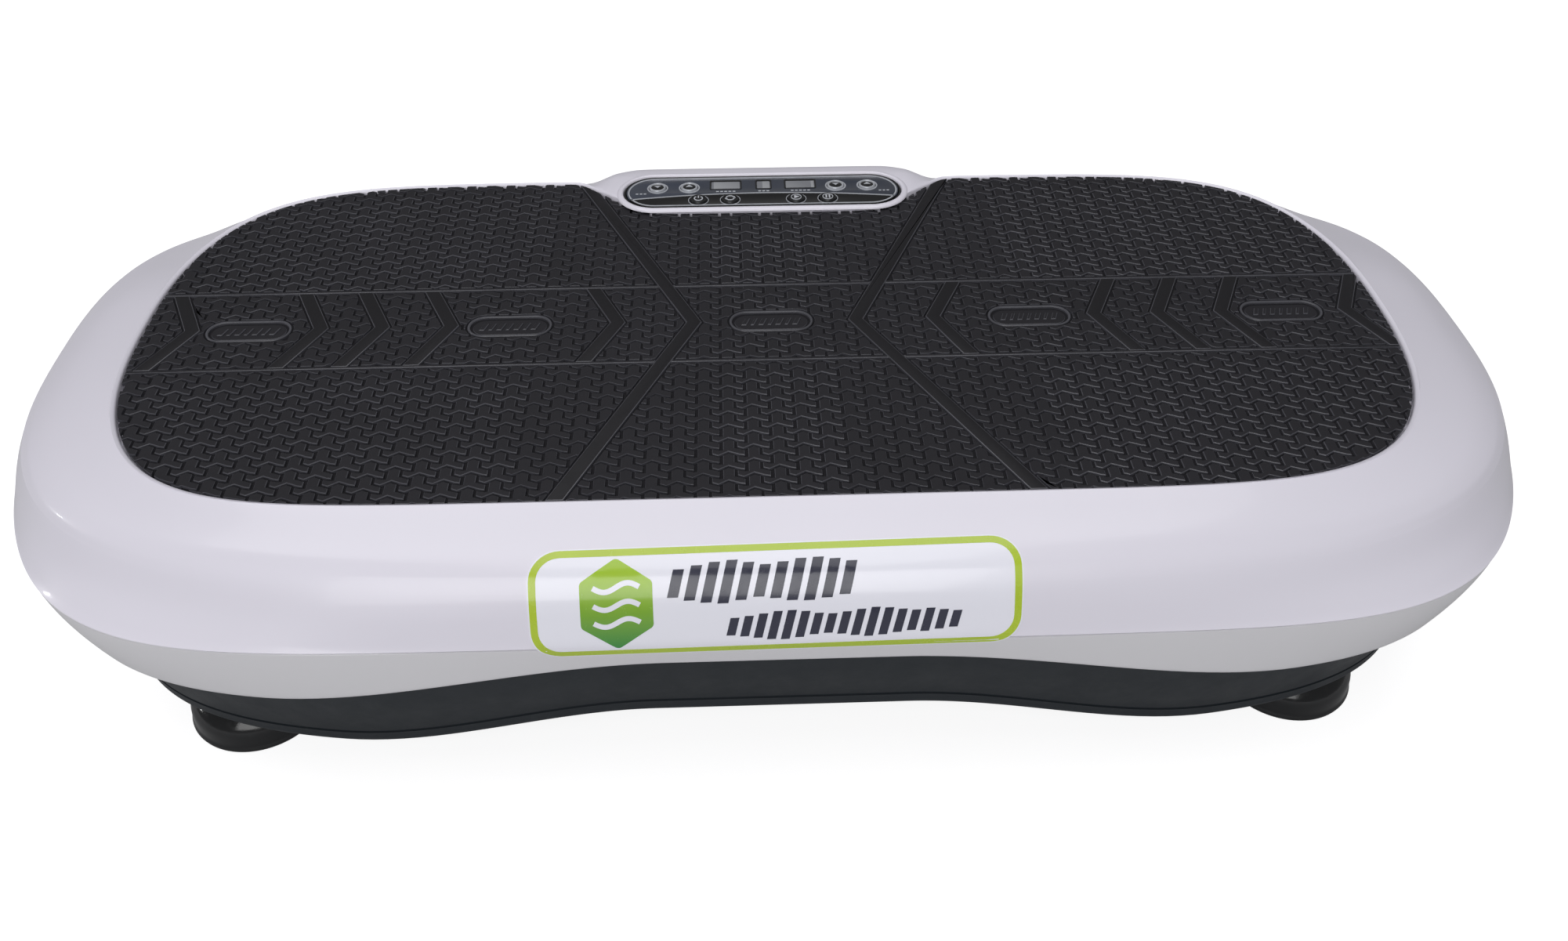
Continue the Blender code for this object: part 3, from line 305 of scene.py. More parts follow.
class Stack:
    """Collects prisms, bands and turned bodies into one mesh."""

    def __init__(self):
        self.verts, self.faces, self.indices = [], [], []

    def add_row(self, loop, distance, z):
        points = offset_loop(loop, distance) if distance else loop
        self.verts += [(x, y, z) for x, y in points]

    def fill_indices(self, index):
        self.indices += [index] * (len(self.faces) - len(self.indices))

    def prism(self, loop, z0, z1, bevel=0.0, edge=0, steps=1):
        """Flat ends use material slot 0, the wall and its top bevel use slot edge."""
        loop = np.asarray(ccw(loop), float)
        count, base = len(loop), len(self.verts)
        levels = [(0.0, z0)]
        if bevel:
            for k in range(steps + 1):
                t = math.pi / 2 * k / steps
                levels.append((bevel * (1 - math.cos(t)), z1 - bevel * (1 - math.sin(t))))
        else:
            levels.append((0.0, z1))
        for inset, z in levels:
            self.add_row(loop, -inset, z)
        last = base + (len(levels) - 1) * count
        for row in range(base, last, count):
            bridge(self.faces, row, row + count, count)
        self.fill_indices(edge)
        self.faces.append(tuple(base + i for i in reversed(range(count))))
        self.faces.append(tuple(last + i for i in range(count)))
        self.fill_indices(0)

    def band(self, loop, profile, index=0):
        """A closed band along a loop: profile is a closed list of (offset outward, z)."""
        loop = np.asarray(ccw(loop), float)
        count, base = len(loop), len(self.verts)
        for distance, z in profile:
            self.add_row(loop, distance, z)
        for k in range(len(profile)):
            after = (k + 1) % len(profile)
            bridge(self.faces, base + k * count, base + after * count, count)
        self.fill_indices(index)

    def lathe(self, profile, x0, y0, segments):
        """Turned body: profile of (radius, z) that ends on the axis or closes on itself."""
        rows = []
        for radius, z in profile:
            start = len(self.verts)
            if radius < 1e-9:
                rows.append([start])
                self.verts.append((x0, y0, z))
                continue
            rows.append(list(range(start, start + segments)))
            for i in range(segments):
                t = 2 * math.pi * i / segments
                self.verts.append((x0 + radius * math.cos(t), y0 + radius * math.sin(t), z))
        closed = len(rows[0]) > 1
        for k in range(len(rows) - (0 if closed else 1)):
            low, high = rows[k], rows[(k + 1) % len(rows)]
            for i in range(segments):
                j = (i + 1) % segments
                if len(low) == 1:
                    self.faces.append((low[0], high[j], high[i]))
                elif len(high) == 1:
                    self.faces.append((low[i], low[j], high[0]))
                else:
                    self.faces.append((low[i], low[j], high[j], high[i]))
        self.fill_indices(0)

    def swap_yz(self):
        """Stands everything drawn so far on the x-z plane."""
        self.verts = [(x, z, y) for x, y, z in self.verts]

    def mesh(self, name, angle):
        return build_mesh(name, self.verts, self.faces, angle, self.indices)


def prisms(loops, z0, z1):
    stack = Stack()
    for loop in loops:
        stack.prism(loop, z0, z1)
    return stack


# ----------------------------------------------------------------- flat loops
def arc(cx, cy, radius, start, end, steps):
    """Points on a circle from start to end, in degrees."""
    turns = [math.radians(start + (end - start) * i / steps) for i in range(steps + 1)]
    return [(cx + radius * math.cos(t), cy + radius * math.sin(t)) for t in turns]


def circle(radius, cx, cy, steps):
    return arc(cx, cy, radius, 0, 360, steps)[:-1]


def stadium(half_length, half_width, cx, cy, steps):
    straight = half_length - half_width
    return (arc(cx + straight, cy, half_width, -90, 90, steps)
            + arc(cx - straight, cy, half_width, 90, 270, steps))


def rounded(width, height, cx, cy, radius, steps=6):
    points = []
    for side_x, side_y, start in ((1, 1, 0), (-1, 1, 90), (-1, -1, 180), (1, -1, 270)):
        corner_x = cx + side_x * (width / 2 - radius)
        corner_y = cy + side_y * (height / 2 - radius)
        points += arc(corner_x, corner_y, radius, start, start + 90, steps)
    return points


def bar(cx, cy, width, height):
    left, right = cx - width / 2, cx + width / 2
    low, high = cy - height / 2, cy + height / 2
    return [(left, low), (right, low), (right, high), (left, high)]


def sector(cx, cy, inner, outer, start, end, steps=20):
    return (arc(cx, cy, outer, start, end, steps)
            + arc(cx, cy, inner, start, end, steps)[::-1])


def strip(path, half_width):
    """A flat strip along a path."""
    above, below = [], []
    for i, (x, y) in enumerate(path):
        before, after = path[max(0, i - 1)], path[min(len(path) - 1, i + 1)]
        along = Vector((after[0] - before[0], after[1] - before[1])).normalized()
        above.append((x - along.y * half_width, y + along.x * half_width))
        below.append((x + along.y * half_width, y - along.x * half_width))
    return above + below[::-1]


# ================================================================= materials
def linear(channel):
    channel /= 255
    return channel / 12.92 if channel <= 0.04045 else ((channel + 0.055) / 1.055) ** 2.4


def srgb(red, green, blue, gain=1.0):
    return (*(min(1, linear(channel) * gain) for channel in (red, green, blue)), 1.0)


class Shader:
    """A material and short ways to add nodes to it and link them."""

    def __init__(self, name):
        self.material = bpy.data.materials.new(name)
        self.material.use_nodes = True
        self.tree = self.material.node_tree
        self.bsdf = self.tree.nodes["Principled BSDF"]
        self.coord = self.tree.nodes.new("ShaderNodeTexCoord").outputs["Object"]

    def feed(self, slot, value):
        if isinstance(value, bpy.types.NodeSocket):
            self.tree.links.new(value, slot)
        else:
            slot.default_value = value

    def node(self, kind, *inputs, settings=None, **named):
        """Adds a node; inputs go by position or by name, settings are its properties."""
        node = self.tree.nodes.new(kind)
        for key, value in (settings or {}).items():
            setattr(node, key, value)
        for place, value in enumerate(inputs):
            self.feed(node.inputs[place], value)
        for key, value in named.items():
            self.feed(node.inputs[key.replace("_", " ")], value)
        return node

    def math(self, operation, first, second=0.0):
        settings = {"operation": operation}
        return self.node("ShaderNodeMath", first, second, 0.0, settings=settings).outputs[0]

    def noise(self, scale, detail=3.0, rough=0.5, vector=None):
        return self.node(
            "ShaderNodeTexNoise", Vector=vector or self.coord, Scale=float(scale),
            Detail=float(detail), Roughness=rough,
        ).outputs[0]

    def waves(self, direction, **inputs):
        settings = {"wave_type": "BANDS", "bands_direction": direction}
        return self.node(
            "ShaderNodeTexWave", Vector=self.coord, settings=settings, **inputs
        ).outputs[1]

    def remap(self, value, low, high, start=0.3, end=0.7):
        """Maps start..end onto low..high."""
        return self.node("ShaderNodeMapRange", value, start, end, low, high).outputs[0]

    def mix(self, factor, first, second, blend="MIX"):
        node = self.node("ShaderNodeMix", settings={"data_type": "RGBA", "blend_type": blend})
        for place, value in ((0, factor), (6, first), (7, second)):
            self.feed(node.inputs[place], value)
        return node.outputs[2]

    def bump(self, height, distance, normal=None):
        below = {} if normal is None else {"Normal": normal}
        return self.node(
            "ShaderNodeBump", Height=height, Distance=distance, Strength=1.0, **below
        ).outputs[0]

    def axes(self):
        return self.node("ShaderNodeSeparateXYZ", self.coord).outputs

    def set(self, **values):
        for key, value in values.items():
            self.feed(self.bsdf.inputs[key.replace("_", " ")], value)


def finish(
    name, rgb, rough, spread, drift, patch, grain_scale, grain,
    metal=0.0, ripple=None, coat=0.0, sheen=0.0, spec=0.5, stretch=None, dust=0.0, colour=None,
):
    """Base finish: slow colour drift, uneven roughness and a fine grain.
    rough +- spread: roughness; drift: colour change; patch: noise scale of both;
    grain_scale, grain: scale and height of the bump; ripple: the same for a slow bump;
    stretch: scale of the noise field per axis; dust: share of pale specks;
    colour: a function of the shader that makes the base colour instead of the drift."""
    s = Shader(name)
    field = s.coord
    if stretch:
        field = s.node("ShaderNodeMapping", Vector=s.coord, Scale=stretch).outputs[0]
    if colour:
        base = colour(s)
    else:
        factor = s.remap(s.noise(patch, 3, 0.55, field), 0.0, 1.0)
        base = s.mix(factor, srgb(*rgb, 1 - drift), srgb(*rgb, 1 + drift))
    if dust:
        specks = s.remap(s.noise(patch * 9, 5, 0.7), 0.0, dust, start=0.55, end=0.75)
        base = s.mix(specks, base, srgb(170, 168, 166))
    roughness = s.remap(
        s.noise(patch * 5, 4, 0.6, field), max(0.02, rough - spread), min(1.0, rough + spread)
    )
    normal = s.bump(s.noise(grain_scale, 2, 0.6, field), grain)
    if ripple:
        normal = s.bump(s.noise(ripple[0], 2, 0.5), ripple[1], normal)
    s.set(
        Base_Color=base, Roughness=roughness, Metallic=metal, Normal=normal,
        Specular_IOR_Level=spec,
    )
    if coat:
        s.set(Coat_Weight=coat, Coat_Roughness=0.08)
    if sheen:
        s.set(Sheen_Weight=sheen, Sheen_Roughness=0.45)
    s.material.diffuse_color = srgb(*rgb)
    return s.material


# key, name, sRGB colour, rough, spread, drift, patch, grain_scale, grain, other settings
PLAIN_FINISHES = (
    ("white", "gloss_white_upper", (226, 223, 234), 0.30, 0.02, 0.008, 6, 1700, 4e-6,
     dict(coat=0.25)),
    ("skirt", "gloss_white_lower", (222, 221, 225), 0.32, 0.02, 0.008, 6, 1700, 4e-6,
     dict(coat=0.2)),
    ("dark", "charcoal_moulded", (33, 38, 43), 0.48, 0.06, 0.06, 14, 2400, 3e-5,
     dict(spec=0.32, dust=0.012)),
    ("under", "charcoal_underside", (33, 36, 40), 0.58, 0.10, 0.12, 18, 2000, 8e-5,
     dict(dust=0.05)),
    ("tread", "rubber_tread", (31, 30, 35), 0.60, 0.08, 0.12, 12, 3200, 5e-5, dict(spec=0.30)),
    # the tread's walls and top bevels: the mat rubber painted lighter than the tile tops, a painted
    # highlight along the edges
    ("tread_edge", "rubber_tread_edge", (74, 74, 80), 0.34, 0.08, 0.16, 30, 3000, 3e-5, {}),
    ("tread_band", "rubber_tread_band", (23, 22, 26), 0.55, 0.06, 0.10, 12, 3200, 3e-5,
     dict(spec=0.28)),
    # the mat's sheet, seen as the floor of the grooves: its own rubber colour, painted a little darker
    # than the tile tops as shade in the grooves
    ("tread_floor", "rubber_tread_floor", (26, 25, 29), 0.72, 0.08, 0.12, 16, 3200, 6e-5,
     dict(spec=0.2)),
    ("foot", "foot_rubber_gloss", (24, 25, 27), 0.17, 0.07, 0.12, 40, 900, 2e-5,
     dict(spec=0.6, dust=0.02)),
    ("rubber", "black_rubber", (25, 25, 26), 0.72, 0.12, 0.15, 60, 3000, 8e-5, dict(sheen=0.1)),
    ("steel", "zinc_steel", (172, 174, 178), 0.33, 0.12, 0.10, 80, 1400, 3e-5,
     dict(metal=1.0, stretch=(1, 6, 1))),
    ("dark_steel", "painted_steel", (58, 60, 64), 0.48, 0.10, 0.12, 40, 1800, 6e-5,
     dict(metal=0.5)),
    ("bronze", "sintered_bronze", (172, 122, 72), 0.42, 0.12, 0.14, 120, 4000, 5e-5,
     dict(metal=1.0)),
    ("alu", "cast_aluminium", (195, 197, 200), 0.40, 0.12, 0.08, 70, 2600, 5e-5,
     dict(metal=1.0)),
    ("plastic", "black_plastic", (22, 23, 25), 0.34, 0.08, 0.10, 50, 3500, 3e-5, {}),
    ("gloss_black", "panel_gloss_black", (15, 16, 19), 0.12, 0.04, 0.08, 40, 900, 4e-6,
     dict(coat=0.5)),
    ("grey", "grey_plastic", (112, 114, 120), 0.50, 0.10, 0.08, 50, 3000, 4e-5, {}),
    ("silver", "silver_print", (186, 189, 196), 0.36, 0.06, 0.10, 150, 4000, 1e-5,
     dict(metal=0.25)),
    ("ink", "white_print", (196, 199, 206), 0.45, 0.08, 0.06, 200, 5000, 1e-5, {}),
    ("lime", "lime_print", (176, 199, 48), 0.26, 0.05, 0.04, 40, 2600, 6e-6, dict(coat=0.4)),
    ("navy", "navy_print", (42, 43, 62), 0.24, 0.05, 0.08, 60, 2600, 6e-6, dict(coat=0.4)),
    ("paper", "label_film", (236, 236, 246), 0.24, 0.02, 0.008, 12, 1800, 4e-6,
     dict(ripple=(26, 3e-5), coat=0.4)),
    ("plate", "rating_foil", (186, 188, 192), 0.36, 0.08, 0.06, 80, 4000, 1e-5,
     dict(metal=0.7)),
)


def belt_material():
    """Drive belt: cogs across the band."""
    s = Shader("belt_ribbed")
    cogs = s.waves("Y", Scale=160.0)
    fuzz = s.noise(2500)
    s.set(
        Base_Color=s.mix(cogs, srgb(17, 17, 18), srgb(32, 32, 33)),
        Roughness=s.remap(fuzz, 0.6, 0.82),
        Normal=s.bump(fuzz, 0.00005, s.bump(cogs, 0.0003)),
    )
    return s.material


def circuit_material():
    """Circuit board: copper lanes under green resist."""
    s = Shader("circuit_board")
    lanes = s.node(
        "ShaderNodeTexBrick", Vector=s.coord, Scale=110.0, Mortar_Size=0.03, Bias=-0.2,
        settings={"offset": 0.5, "squash": 0.7},
    )
    track = s.math("GREATER_THAN", lanes.outputs[1], 0.5)
    blot = s.noise(90)
    resist = s.mix(s.remap(blot, 0, 1), srgb(18, 66, 40), srgb(26, 84, 52))
    s.set(
        Base_Color=s.mix(track, resist, srgb(46, 118, 70)),
        Roughness=s.remap(blot, 0.25, 0.42),
        Normal=s.bump(track, 0.00006),
    )
    return s.material


def winding_material():
    """Copper winding: laid turns of wire."""
    s = Shader("copper_winding")
    turns = s.waves("Z", Scale=420.0, Distortion=0.6, Detail=1.0)
    s.set(
        Base_Color=s.mix(turns, srgb(104, 54, 28), srgb(186, 112, 62)),
        Metallic=0.85,
        Roughness=s.remap(s.noise(300), 0.3, 0.48),
        Normal=s.bump(turns, 0.00025),
    )
    return s.material


def panel_colour_and_painted_light(s):
    """Slate field behind the dividing arc, black field in front of it; the slate carries painted light,
    brighter toward the left.
    """
    x, y, _ = s.axes()
    bend = s.math("MULTIPLY", s.math("MULTIPLY", x, x), ARC_BEND)
    upper = s.math("GREATER_THAN", y, s.math("SUBTRACT", ARC_Y, bend))
    # painted light: the slate's colour runs brighter toward the left
    glow = s.remap(x, 1.15, 0.85, start=-0.07, end=0.07)  # brighter toward the left
    slate = s.mix(s.remap(s.noise(60), 0, 1), srgb(52, 57, 69), srgb(58, 63, 76))
    gain = s.node("ShaderNodeCombineXYZ", glow, glow, glow).outputs[0]
    return s.mix(upper, srgb(8, 8, 10), s.mix(1.0, slate, gain, "MULTIPLY"))


def display_colour_and_painted_reflection(s):
    """Pale film with a painted reflection, a soft diagonal sweep from light to dark, and a fine square
    grid.
    """
    x, y, _ = s.axes()
    # painted reflection: a light-to-dark sweep that repeats every 25 mm across and shifts with y
    across = s.math("FRACT", s.math("MULTIPLY", s.math("ADD", x, 0.3), 40.0))
    diagonal = s.math("ADD", s.math("MULTIPLY", across, 0.5), s.math("MULTIPLY", y, 18.0))
    tone = s.remap(diagonal, 0.0, 1.0, start=1.95, end=2.55)
    cells = [
        s.math("GREATER_THAN", s.math("FRACT", s.math("MULTIPLY", axis, 2200.0)), 0.12)
        for axis in (x, y)
    ]
    grid = s.math("MULTIPLY", s.math("MULTIPLY", *cells), 0.12)
    face = s.mix(tone, srgb(166, 168, 172), srgb(116, 118, 124))
    return s.mix(grid, face, srgb(190, 192, 198))


def badge_colour(s):
    """Lime at the top, deep green at the foot."""
    fade = s.remap(s.axes()[2], 0.0, 1.0, start=0.100, end=0.126)
    return s.mix(fade, srgb(38, 132, 62), srgb(160, 196, 42))


MATERIALS = {key: finish(*columns, **extra) for key, *columns, extra in PLAIN_FINISHES}
MATERIALS["belt"] = belt_material()
MATERIALS["pcb"] = circuit_material()
MATERIALS["copper"] = winding_material()
MATERIALS["panel"] = finish(
    "panel_two_tone", (50, 54, 64), rough=0.13, spread=0.04, drift=0.0, patch=40,
    grain_scale=900, grain=4e-6, coat=0.5, colour=panel_colour_and_painted_light,
)
MATERIALS["display"] = finish(
    "display_film", (150, 152, 158), rough=0.18, spread=0.05, drift=0.0, patch=90,
    grain_scale=3000, grain=6e-6, coat=0.4, colour=display_colour_and_painted_reflection,
)
MATERIALS["badge"] = finish(
    "badge_green", (90, 160, 60), rough=0.24, spread=0.05, drift=0.0, patch=50,
    grain_scale=2600, grain=6e-6, coat=0.4, colour=badge_colour,
)


# ================================================================= pieces
def link_object(name, mesh):
    ob = bpy.data.objects.new(name, mesh)
    bpy.context.scene.collection.objects.link(ob)
    return ob


def piece(name, mesh, body, slot, *materials, stands_for=None):
    """Places a mesh that rides on a body and may stand for a CAD node."""
    ob = link_object(name, mesh)
    for key in materials:
        mesh.materials.append(MATERIALS[key])
    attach(ob, body)
    if stands_for:
        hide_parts(stands_for)


def stack_piece(name, stack, angle, body, slot, *materials, stands_for=None):
    piece(name, stack.mesh(name, angle), body, slot, *materials, stands_for=stands_for)


def evaluated_mesh(ob):
    bpy.context.view_layer.update()
    deps = bpy.context.evaluated_depsgraph_get()
    return bpy.data.meshes.new_from_object(ob.evaluated_get(deps))


def cut_mesh(mesh, cutter_name, cutter_stack):
    """The mesh with the stack's volume taken out of it."""
    ob = link_object(mesh.name, mesh)
    cutter = link_object(cutter_name, cutter_stack.mesh(cutter_name, 0))
    cut = ob.modifiers.new("cut", "BOOLEAN")
    cut.operation, cut.object, cut.solver = "DIFFERENCE", cutter, "EXACT"
    result = evaluated_mesh(ob)
    bpy.data.objects.remove(cutter, do_unlink=True)
    bpy.data.objects.remove(ob, do_unlink=True)
    clean_up(result, 32)
    return result


# ----------------------------------------------------------------- upper housing
PANEL_LOOP = stadium(PANEL_HALF_LENGTH, PANEL_HALF_WIDTH, 0, PANEL_Y, 40)


def housing_outer():
    """Outer rows of the upper housing, from the mat's rim down to the parting line."""
    slope = curve_rows(
        [
            rim_ring(RIM_Z + 0.0007, 0.0022, 0.0020, less=0.0005),
            crest_ring(),
            level_ring(SLOPE),
            level_ring(SHOULDER),
            level_ring(CREASE),
        ],
        (3, 8, 6, 6),
    )
    wall = curve_rows([level_ring(CREASE), level_ring(WALL), level_ring(PARTING)], (7, 7))
    crease = len(slope) - 1
    rows = np.stack(slope + wall[1:])
    # the edge between slope and wall is tight at the ends and melts away along the middle
    soft = 0.01 + 0.99 * ramp(rows[crease, :, 0], 0.13, 0.25)
    for _ in range(26):
        for k in range(crease - 5, crease + 6):
            reach = soft if abs(k - crease) <= 1 else soft * soft
            target = (rows[k - 1] + 2 * rows[k] + rows[k + 1]) / 4
            rows[k] += (target - rows[k]) * reach[:, None] * 0.8
    rows = list(rows)
    # two close rows beside the edge keep it crisp where it is sharp
    above = rows[crease] + (rows[crease - 1] - rows[crease]) * 0.26
    below = rows[crease] + (rows[crease + 1] - rows[crease]) * 0.22
    rows = rows[:crease] + [above, rows[crease], below] + rows[crease + 1:]
    # a small bevel at the foot
    foot = [raised(rows[-1], 0.0004), rows[-1] * np.array([0.9988, 0.9976, 1.0])]
    return rows[:-1] + foot


housing_rim = [
    mat_ring(RECESS_Z, 0.0005),
    rim_ring(RIM_Z - 0.0008, 0.0006),
    rim_ring(RIM_Z - 0.0002, 0.0008),
    rim_ring(RIM_Z + 0.0003, 0.0012, less=0.0002),
]
outer_rows = housing_outer()
housing_inner = [
    level_ring(PARTING, -SHELL),
    level_ring(WALL, -SHELL, drop=0.0006),
    level_ring(CREASE, -SHELL - 0.0006, drop=0.0020),
    level_ring(SHOULDER, -SHELL - 0.0006, drop=0.0028),
    level_ring(SLOPE, -SHELL - 0.0010, drop=0.0030),
    crest_ring(0.0010, drop=0.0030, pod=POD_PUSH - 0.003),
    rim_ring(RIM_Z - 0.0026, 0.0034, 0.0026),
    mat_ring(RECESS_Z - 0.0030, 0.0030, 0.0024),
]
housing = loft("vis_top_housing", housing_rim + outer_rows + housing_inner)
housing = cut_mesh(housing, "cut_console", prisms([PANEL_LOOP], 0.120, 0.150))
piece("vis_top_housing", housing, "platform", "housing_white", "white", stands_for="top_shell")


# ----------------------------------------------------------------- lower housing skirt
def skirt_row(t, grow=0.0):
    """A row of the skirt, t running from its top (0) to its arched lower edge (1)."""
    shape = [top + (end - top) * t**1.15 for top, end in zip(SKIRT_TOP, SKIRT_END)]
    points = outline(shape, grow)
    x = points[:, 0]
    end = SKIRT_END_Z + SKIRT_RISE * ramp(x, SKIRT_X0, SKIRT_X1)
    return np.stack([x, points[:, 1], SKIRT_TOP_Z + (end - SKIRT_TOP_Z) * t], 1)


skirt_rows = [skirt_row(0.0, -0.0004), skirt_row(0.012)]
skirt_rows += [skirt_row(t) for t in np.linspace(0.06, 0.94, 14)]
skirt_rows += [skirt_row(0.975, -0.0002), skirt_row(0.995, -0.0007), skirt_row(1.0, -0.0014)]
skirt_rows += [skirt_row(t, -SHELL) for t in (1.0, 0.97, 0.6, 0.3, 0.0)]
piece(
    "vis_skirt_housing", loft("vis_skirt_housing", skirt_rows, caps=False),
    "platform", "housing_white_lower", "skirt", stands_for="skirt_shell",
)


# ----------------------------------------------------------------- base tray
def top_arch(x):
    return TRAY_TOP_RISE * ramp(x, SKIRT_X0, SKIRT_X1)


def floor_arch(x):
    return FLOOR_RISE * ramp(x, FLOOR_X0, FLOOR_X1)


def mid_arch(x):
    return 0.5 * (top_arch(x) + floor_arch(x))


def floor_z(x):
    """Height of the tray's underside at x."""
    return BASE_BOTTOM_Z + float(floor_arch(np.array([x]))[0])


def low_ring(grow=0.0, z=BASE_LOW_Z):
    return ring(BASE_LOW, z, grow=grow, arch=floor_arch)


def tray_profile():
    """Rows from the underside, over the side and top edge, to the inner floor."""
    bottom, corner, low = low_ring(-0.0040, BASE_BOTTOM_Z), raised(low_ring(0.0002), -0.0030), low_ring()
    rows = [
        (1 - t) ** 2 * bottom + 2 * t * (1 - t) * corner + t**2 * low
        for t in (0.0, 0.2, 0.4, 0.6, 0.8, 1.0)
    ]
    rows.append(raised(low, 0.0026))
    # shallow groove round the foot of the side: (height, offset)
    for height, grow in ((0.0034, 0.0), (0.0036, -0.0006), (0.0046, -0.0006), (0.0048, 0.0)):
        rows.append(raised(low_ring(grow + 0.0002), height))
    mid = ring(BASE_MID, BASE_MID_Z, arch=mid_arch)
    top = ring(BASE_TOP, BASE_TOP_Z, arch=top_arch)
    rows += curve_rows([rows[-1], mid, top], (6, 6))[1:]
    return rows + [
        ring(BASE_TOP, BASE_TOP_Z + 0.0004, grow=-0.0005, arch=top_arch),
        ring(BASE_TOP, BASE_TOP_Z + 0.0004, grow=-SHELL + 0.0004, arch=top_arch),
        ring(BASE_TOP, BASE_TOP_Z, grow=-SHELL, arch=top_arch),
        ring(BASE_MID, BASE_MID_Z, grow=-SHELL - 0.0004, arch=mid_arch),
        low_ring(-SHELL - 0.0012, BASE_LOW_Z + 0.0006),
    ]


inlet_lo, inlet_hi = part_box("inlet_panel")
inlet_mid = (inlet_lo + inlet_hi) / 2
inlet_width, inlet_height = inlet_hi.x - inlet_lo.x, inlet_hi.z - inlet_lo.z


def tray_cutter():
    """The inlet's window in the rear wall, and two banks of nine slots in the floor."""
    window = rounded(inlet_width + 0.0006, inlet_height + 0.0006, inlet_mid.x, inlet_mid.z, 0.0025)
    cutter = prisms([window], -0.165, -0.125)
    cutter.verts = [(x, -z, y) for x, y, z in cutter.verts]
    for bank_x in (0.185, -0.150):
        for i in range(9):
            slot = stadium(0.020, 0.0016, bank_x, -0.032 + 0.008 * i, 8)
            cutter.prism(slot, 0.010, floor_z(bank_x) + 0.020)
    return cutter


tray = cut_mesh(loft("vis_base_tray", tray_profile()), "cut_tray", tray_cutter())
piece("vis_base_tray", tray, "base", "base_charcoal", "dark", stands_for="base_tray")


# ----------------------------------------------------------------- suction feet
def box_middle(name):
    low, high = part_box(name)
    return (low + high) / 2


foot_lo, foot_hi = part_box(FEET[0])
foot_radius = (foot_hi.x - foot_lo.x) / 2
# (radius, z): neck, bell, lip on the floor, then the stepped hollow under it
FOOT_PROFILE = [
    (0.0, 0.0212), (0.0098, 0.0212), (0.0108, 0.0206), (0.0112, 0.0194), (0.0122, 0.0184),
    (0.0150, 0.0174),
]
for k in range(1, 15):
    t = math.pi / 2 * k / 15
    FOOT_PROFILE.append((0.0150 + 0.0136 * math.sin(t) ** 0.85, 0.0060 + 0.0116 * math.cos(t) ** 0.85))
FOOT_PROFILE += [
    (0.0287, 0.0048), (0.0288, 0.0036), (0.0290, 0.0028), (foot_radius - 0.0002, 0.0021),
    (foot_radius, 0.0014), (foot_radius - 0.0003, 0.0006), (foot_radius - 0.0012, 0.0),
    (0.0268, 0.0001), (0.0256, 0.0010), (0.0238, 0.0024), (0.0236, 0.0034), (0.0228, 0.0034),
    (0.0226, 0.0030), (0.0190, 0.0044), (0.0188, 0.0052), (0.0180, 0.0052), (0.0178, 0.0047),
    (0.0100, 0.0056), (0.0, 0.0058),
]
for name in FEET:
    middle = box_middle(name)
    foot = Stack()
    foot.lathe(FOOT_PROFILE, middle.x, middle.y, 96)
    stack_piece("vis_" + name, foot, 50, "base", "foot_rubber", "foot", stands_for=name)

# ----------------------------------------------------------------- tread of the mat
# Everything drawn flat here is in millimetres; heights and bevels are in metres.
# One S-shaped tile, as (x, y)
TILE = [
    (0, -1.4), (2.4, -2.5), (6.4, 0), (8.5, -0.9), (10.9, -2.0), (12.9, -2.4), (12.9, 0.65),
    (10.1, 1.75), (8.8, 2.2), (8.8, 6.45), (6.4, 7.5), (4.3, 6.2), (4.3, 0.9), (2.9, 0.75),
    (0, 1.5),
]
TILE_PITCH_X, TILE_PITCH_Y = 20.06, 8.7
TILE_X, TILE_Y = -35.9, -74.75
TILE_BEVEL, CUT_TILE_BEVEL = 0.00028, 0.00012
MAT_GROW = -0.0001  # the tread stops this far inside the mat's outline
TREAD_BASE_Z = MAT_FLOOR_Z - 0.0003
TREAD_GAP = 0.9  # clearance round bands, ribs and ovals
BAND_WIDTH = 7.0
RIB_Y = ((24.2, 25.8), (-35.2, -33.6))  # low and high edge of each long rib
OVAL_X, OVAL_Y = (-231.0, -116.0, 0.5, 117.0, 232.0), -5.0

CLIP = ccw([(x * 1000, y * 1000) for x, y, _ in mat_ring(0, MAT_GROW).tolist()])


def inside_mat(x, y):
    half_x, half_y, power_x, power_y = MAT
    x, y = x / 1000, y / 1000
    across = (abs(x) / (half_x + MAT_GROW)) ** power_x
    if across + (abs(y) / (half_y + MAT_GROW)) ** power_y > 1:
        return False
    if y > 0.02:
        edge = (half_y + MAT_GROW) * (1 - across) ** (1 / power_y)
        return y <= soft_min(edge, notch_y(x, MAT_GROW))
    return True


def trace_loops(edges):
    """Joins directed edges into closed loops of vertex numbers."""
    onward = {}
    for start, end in edges:
        onward.setdefault(start, []).append(end)
    loops = []
    while onward:
        start = here = min(onward)
        loop = []
        while here in onward:
            if here in loop[1:]:
                del loop[loop.index(here):]
            loop.append(here)
            after = onward[here].pop(0)
            if not onward[here]:
                del onward[here]
            here = after
            if here == start:
                break
        loops.append(loop)
    return loops


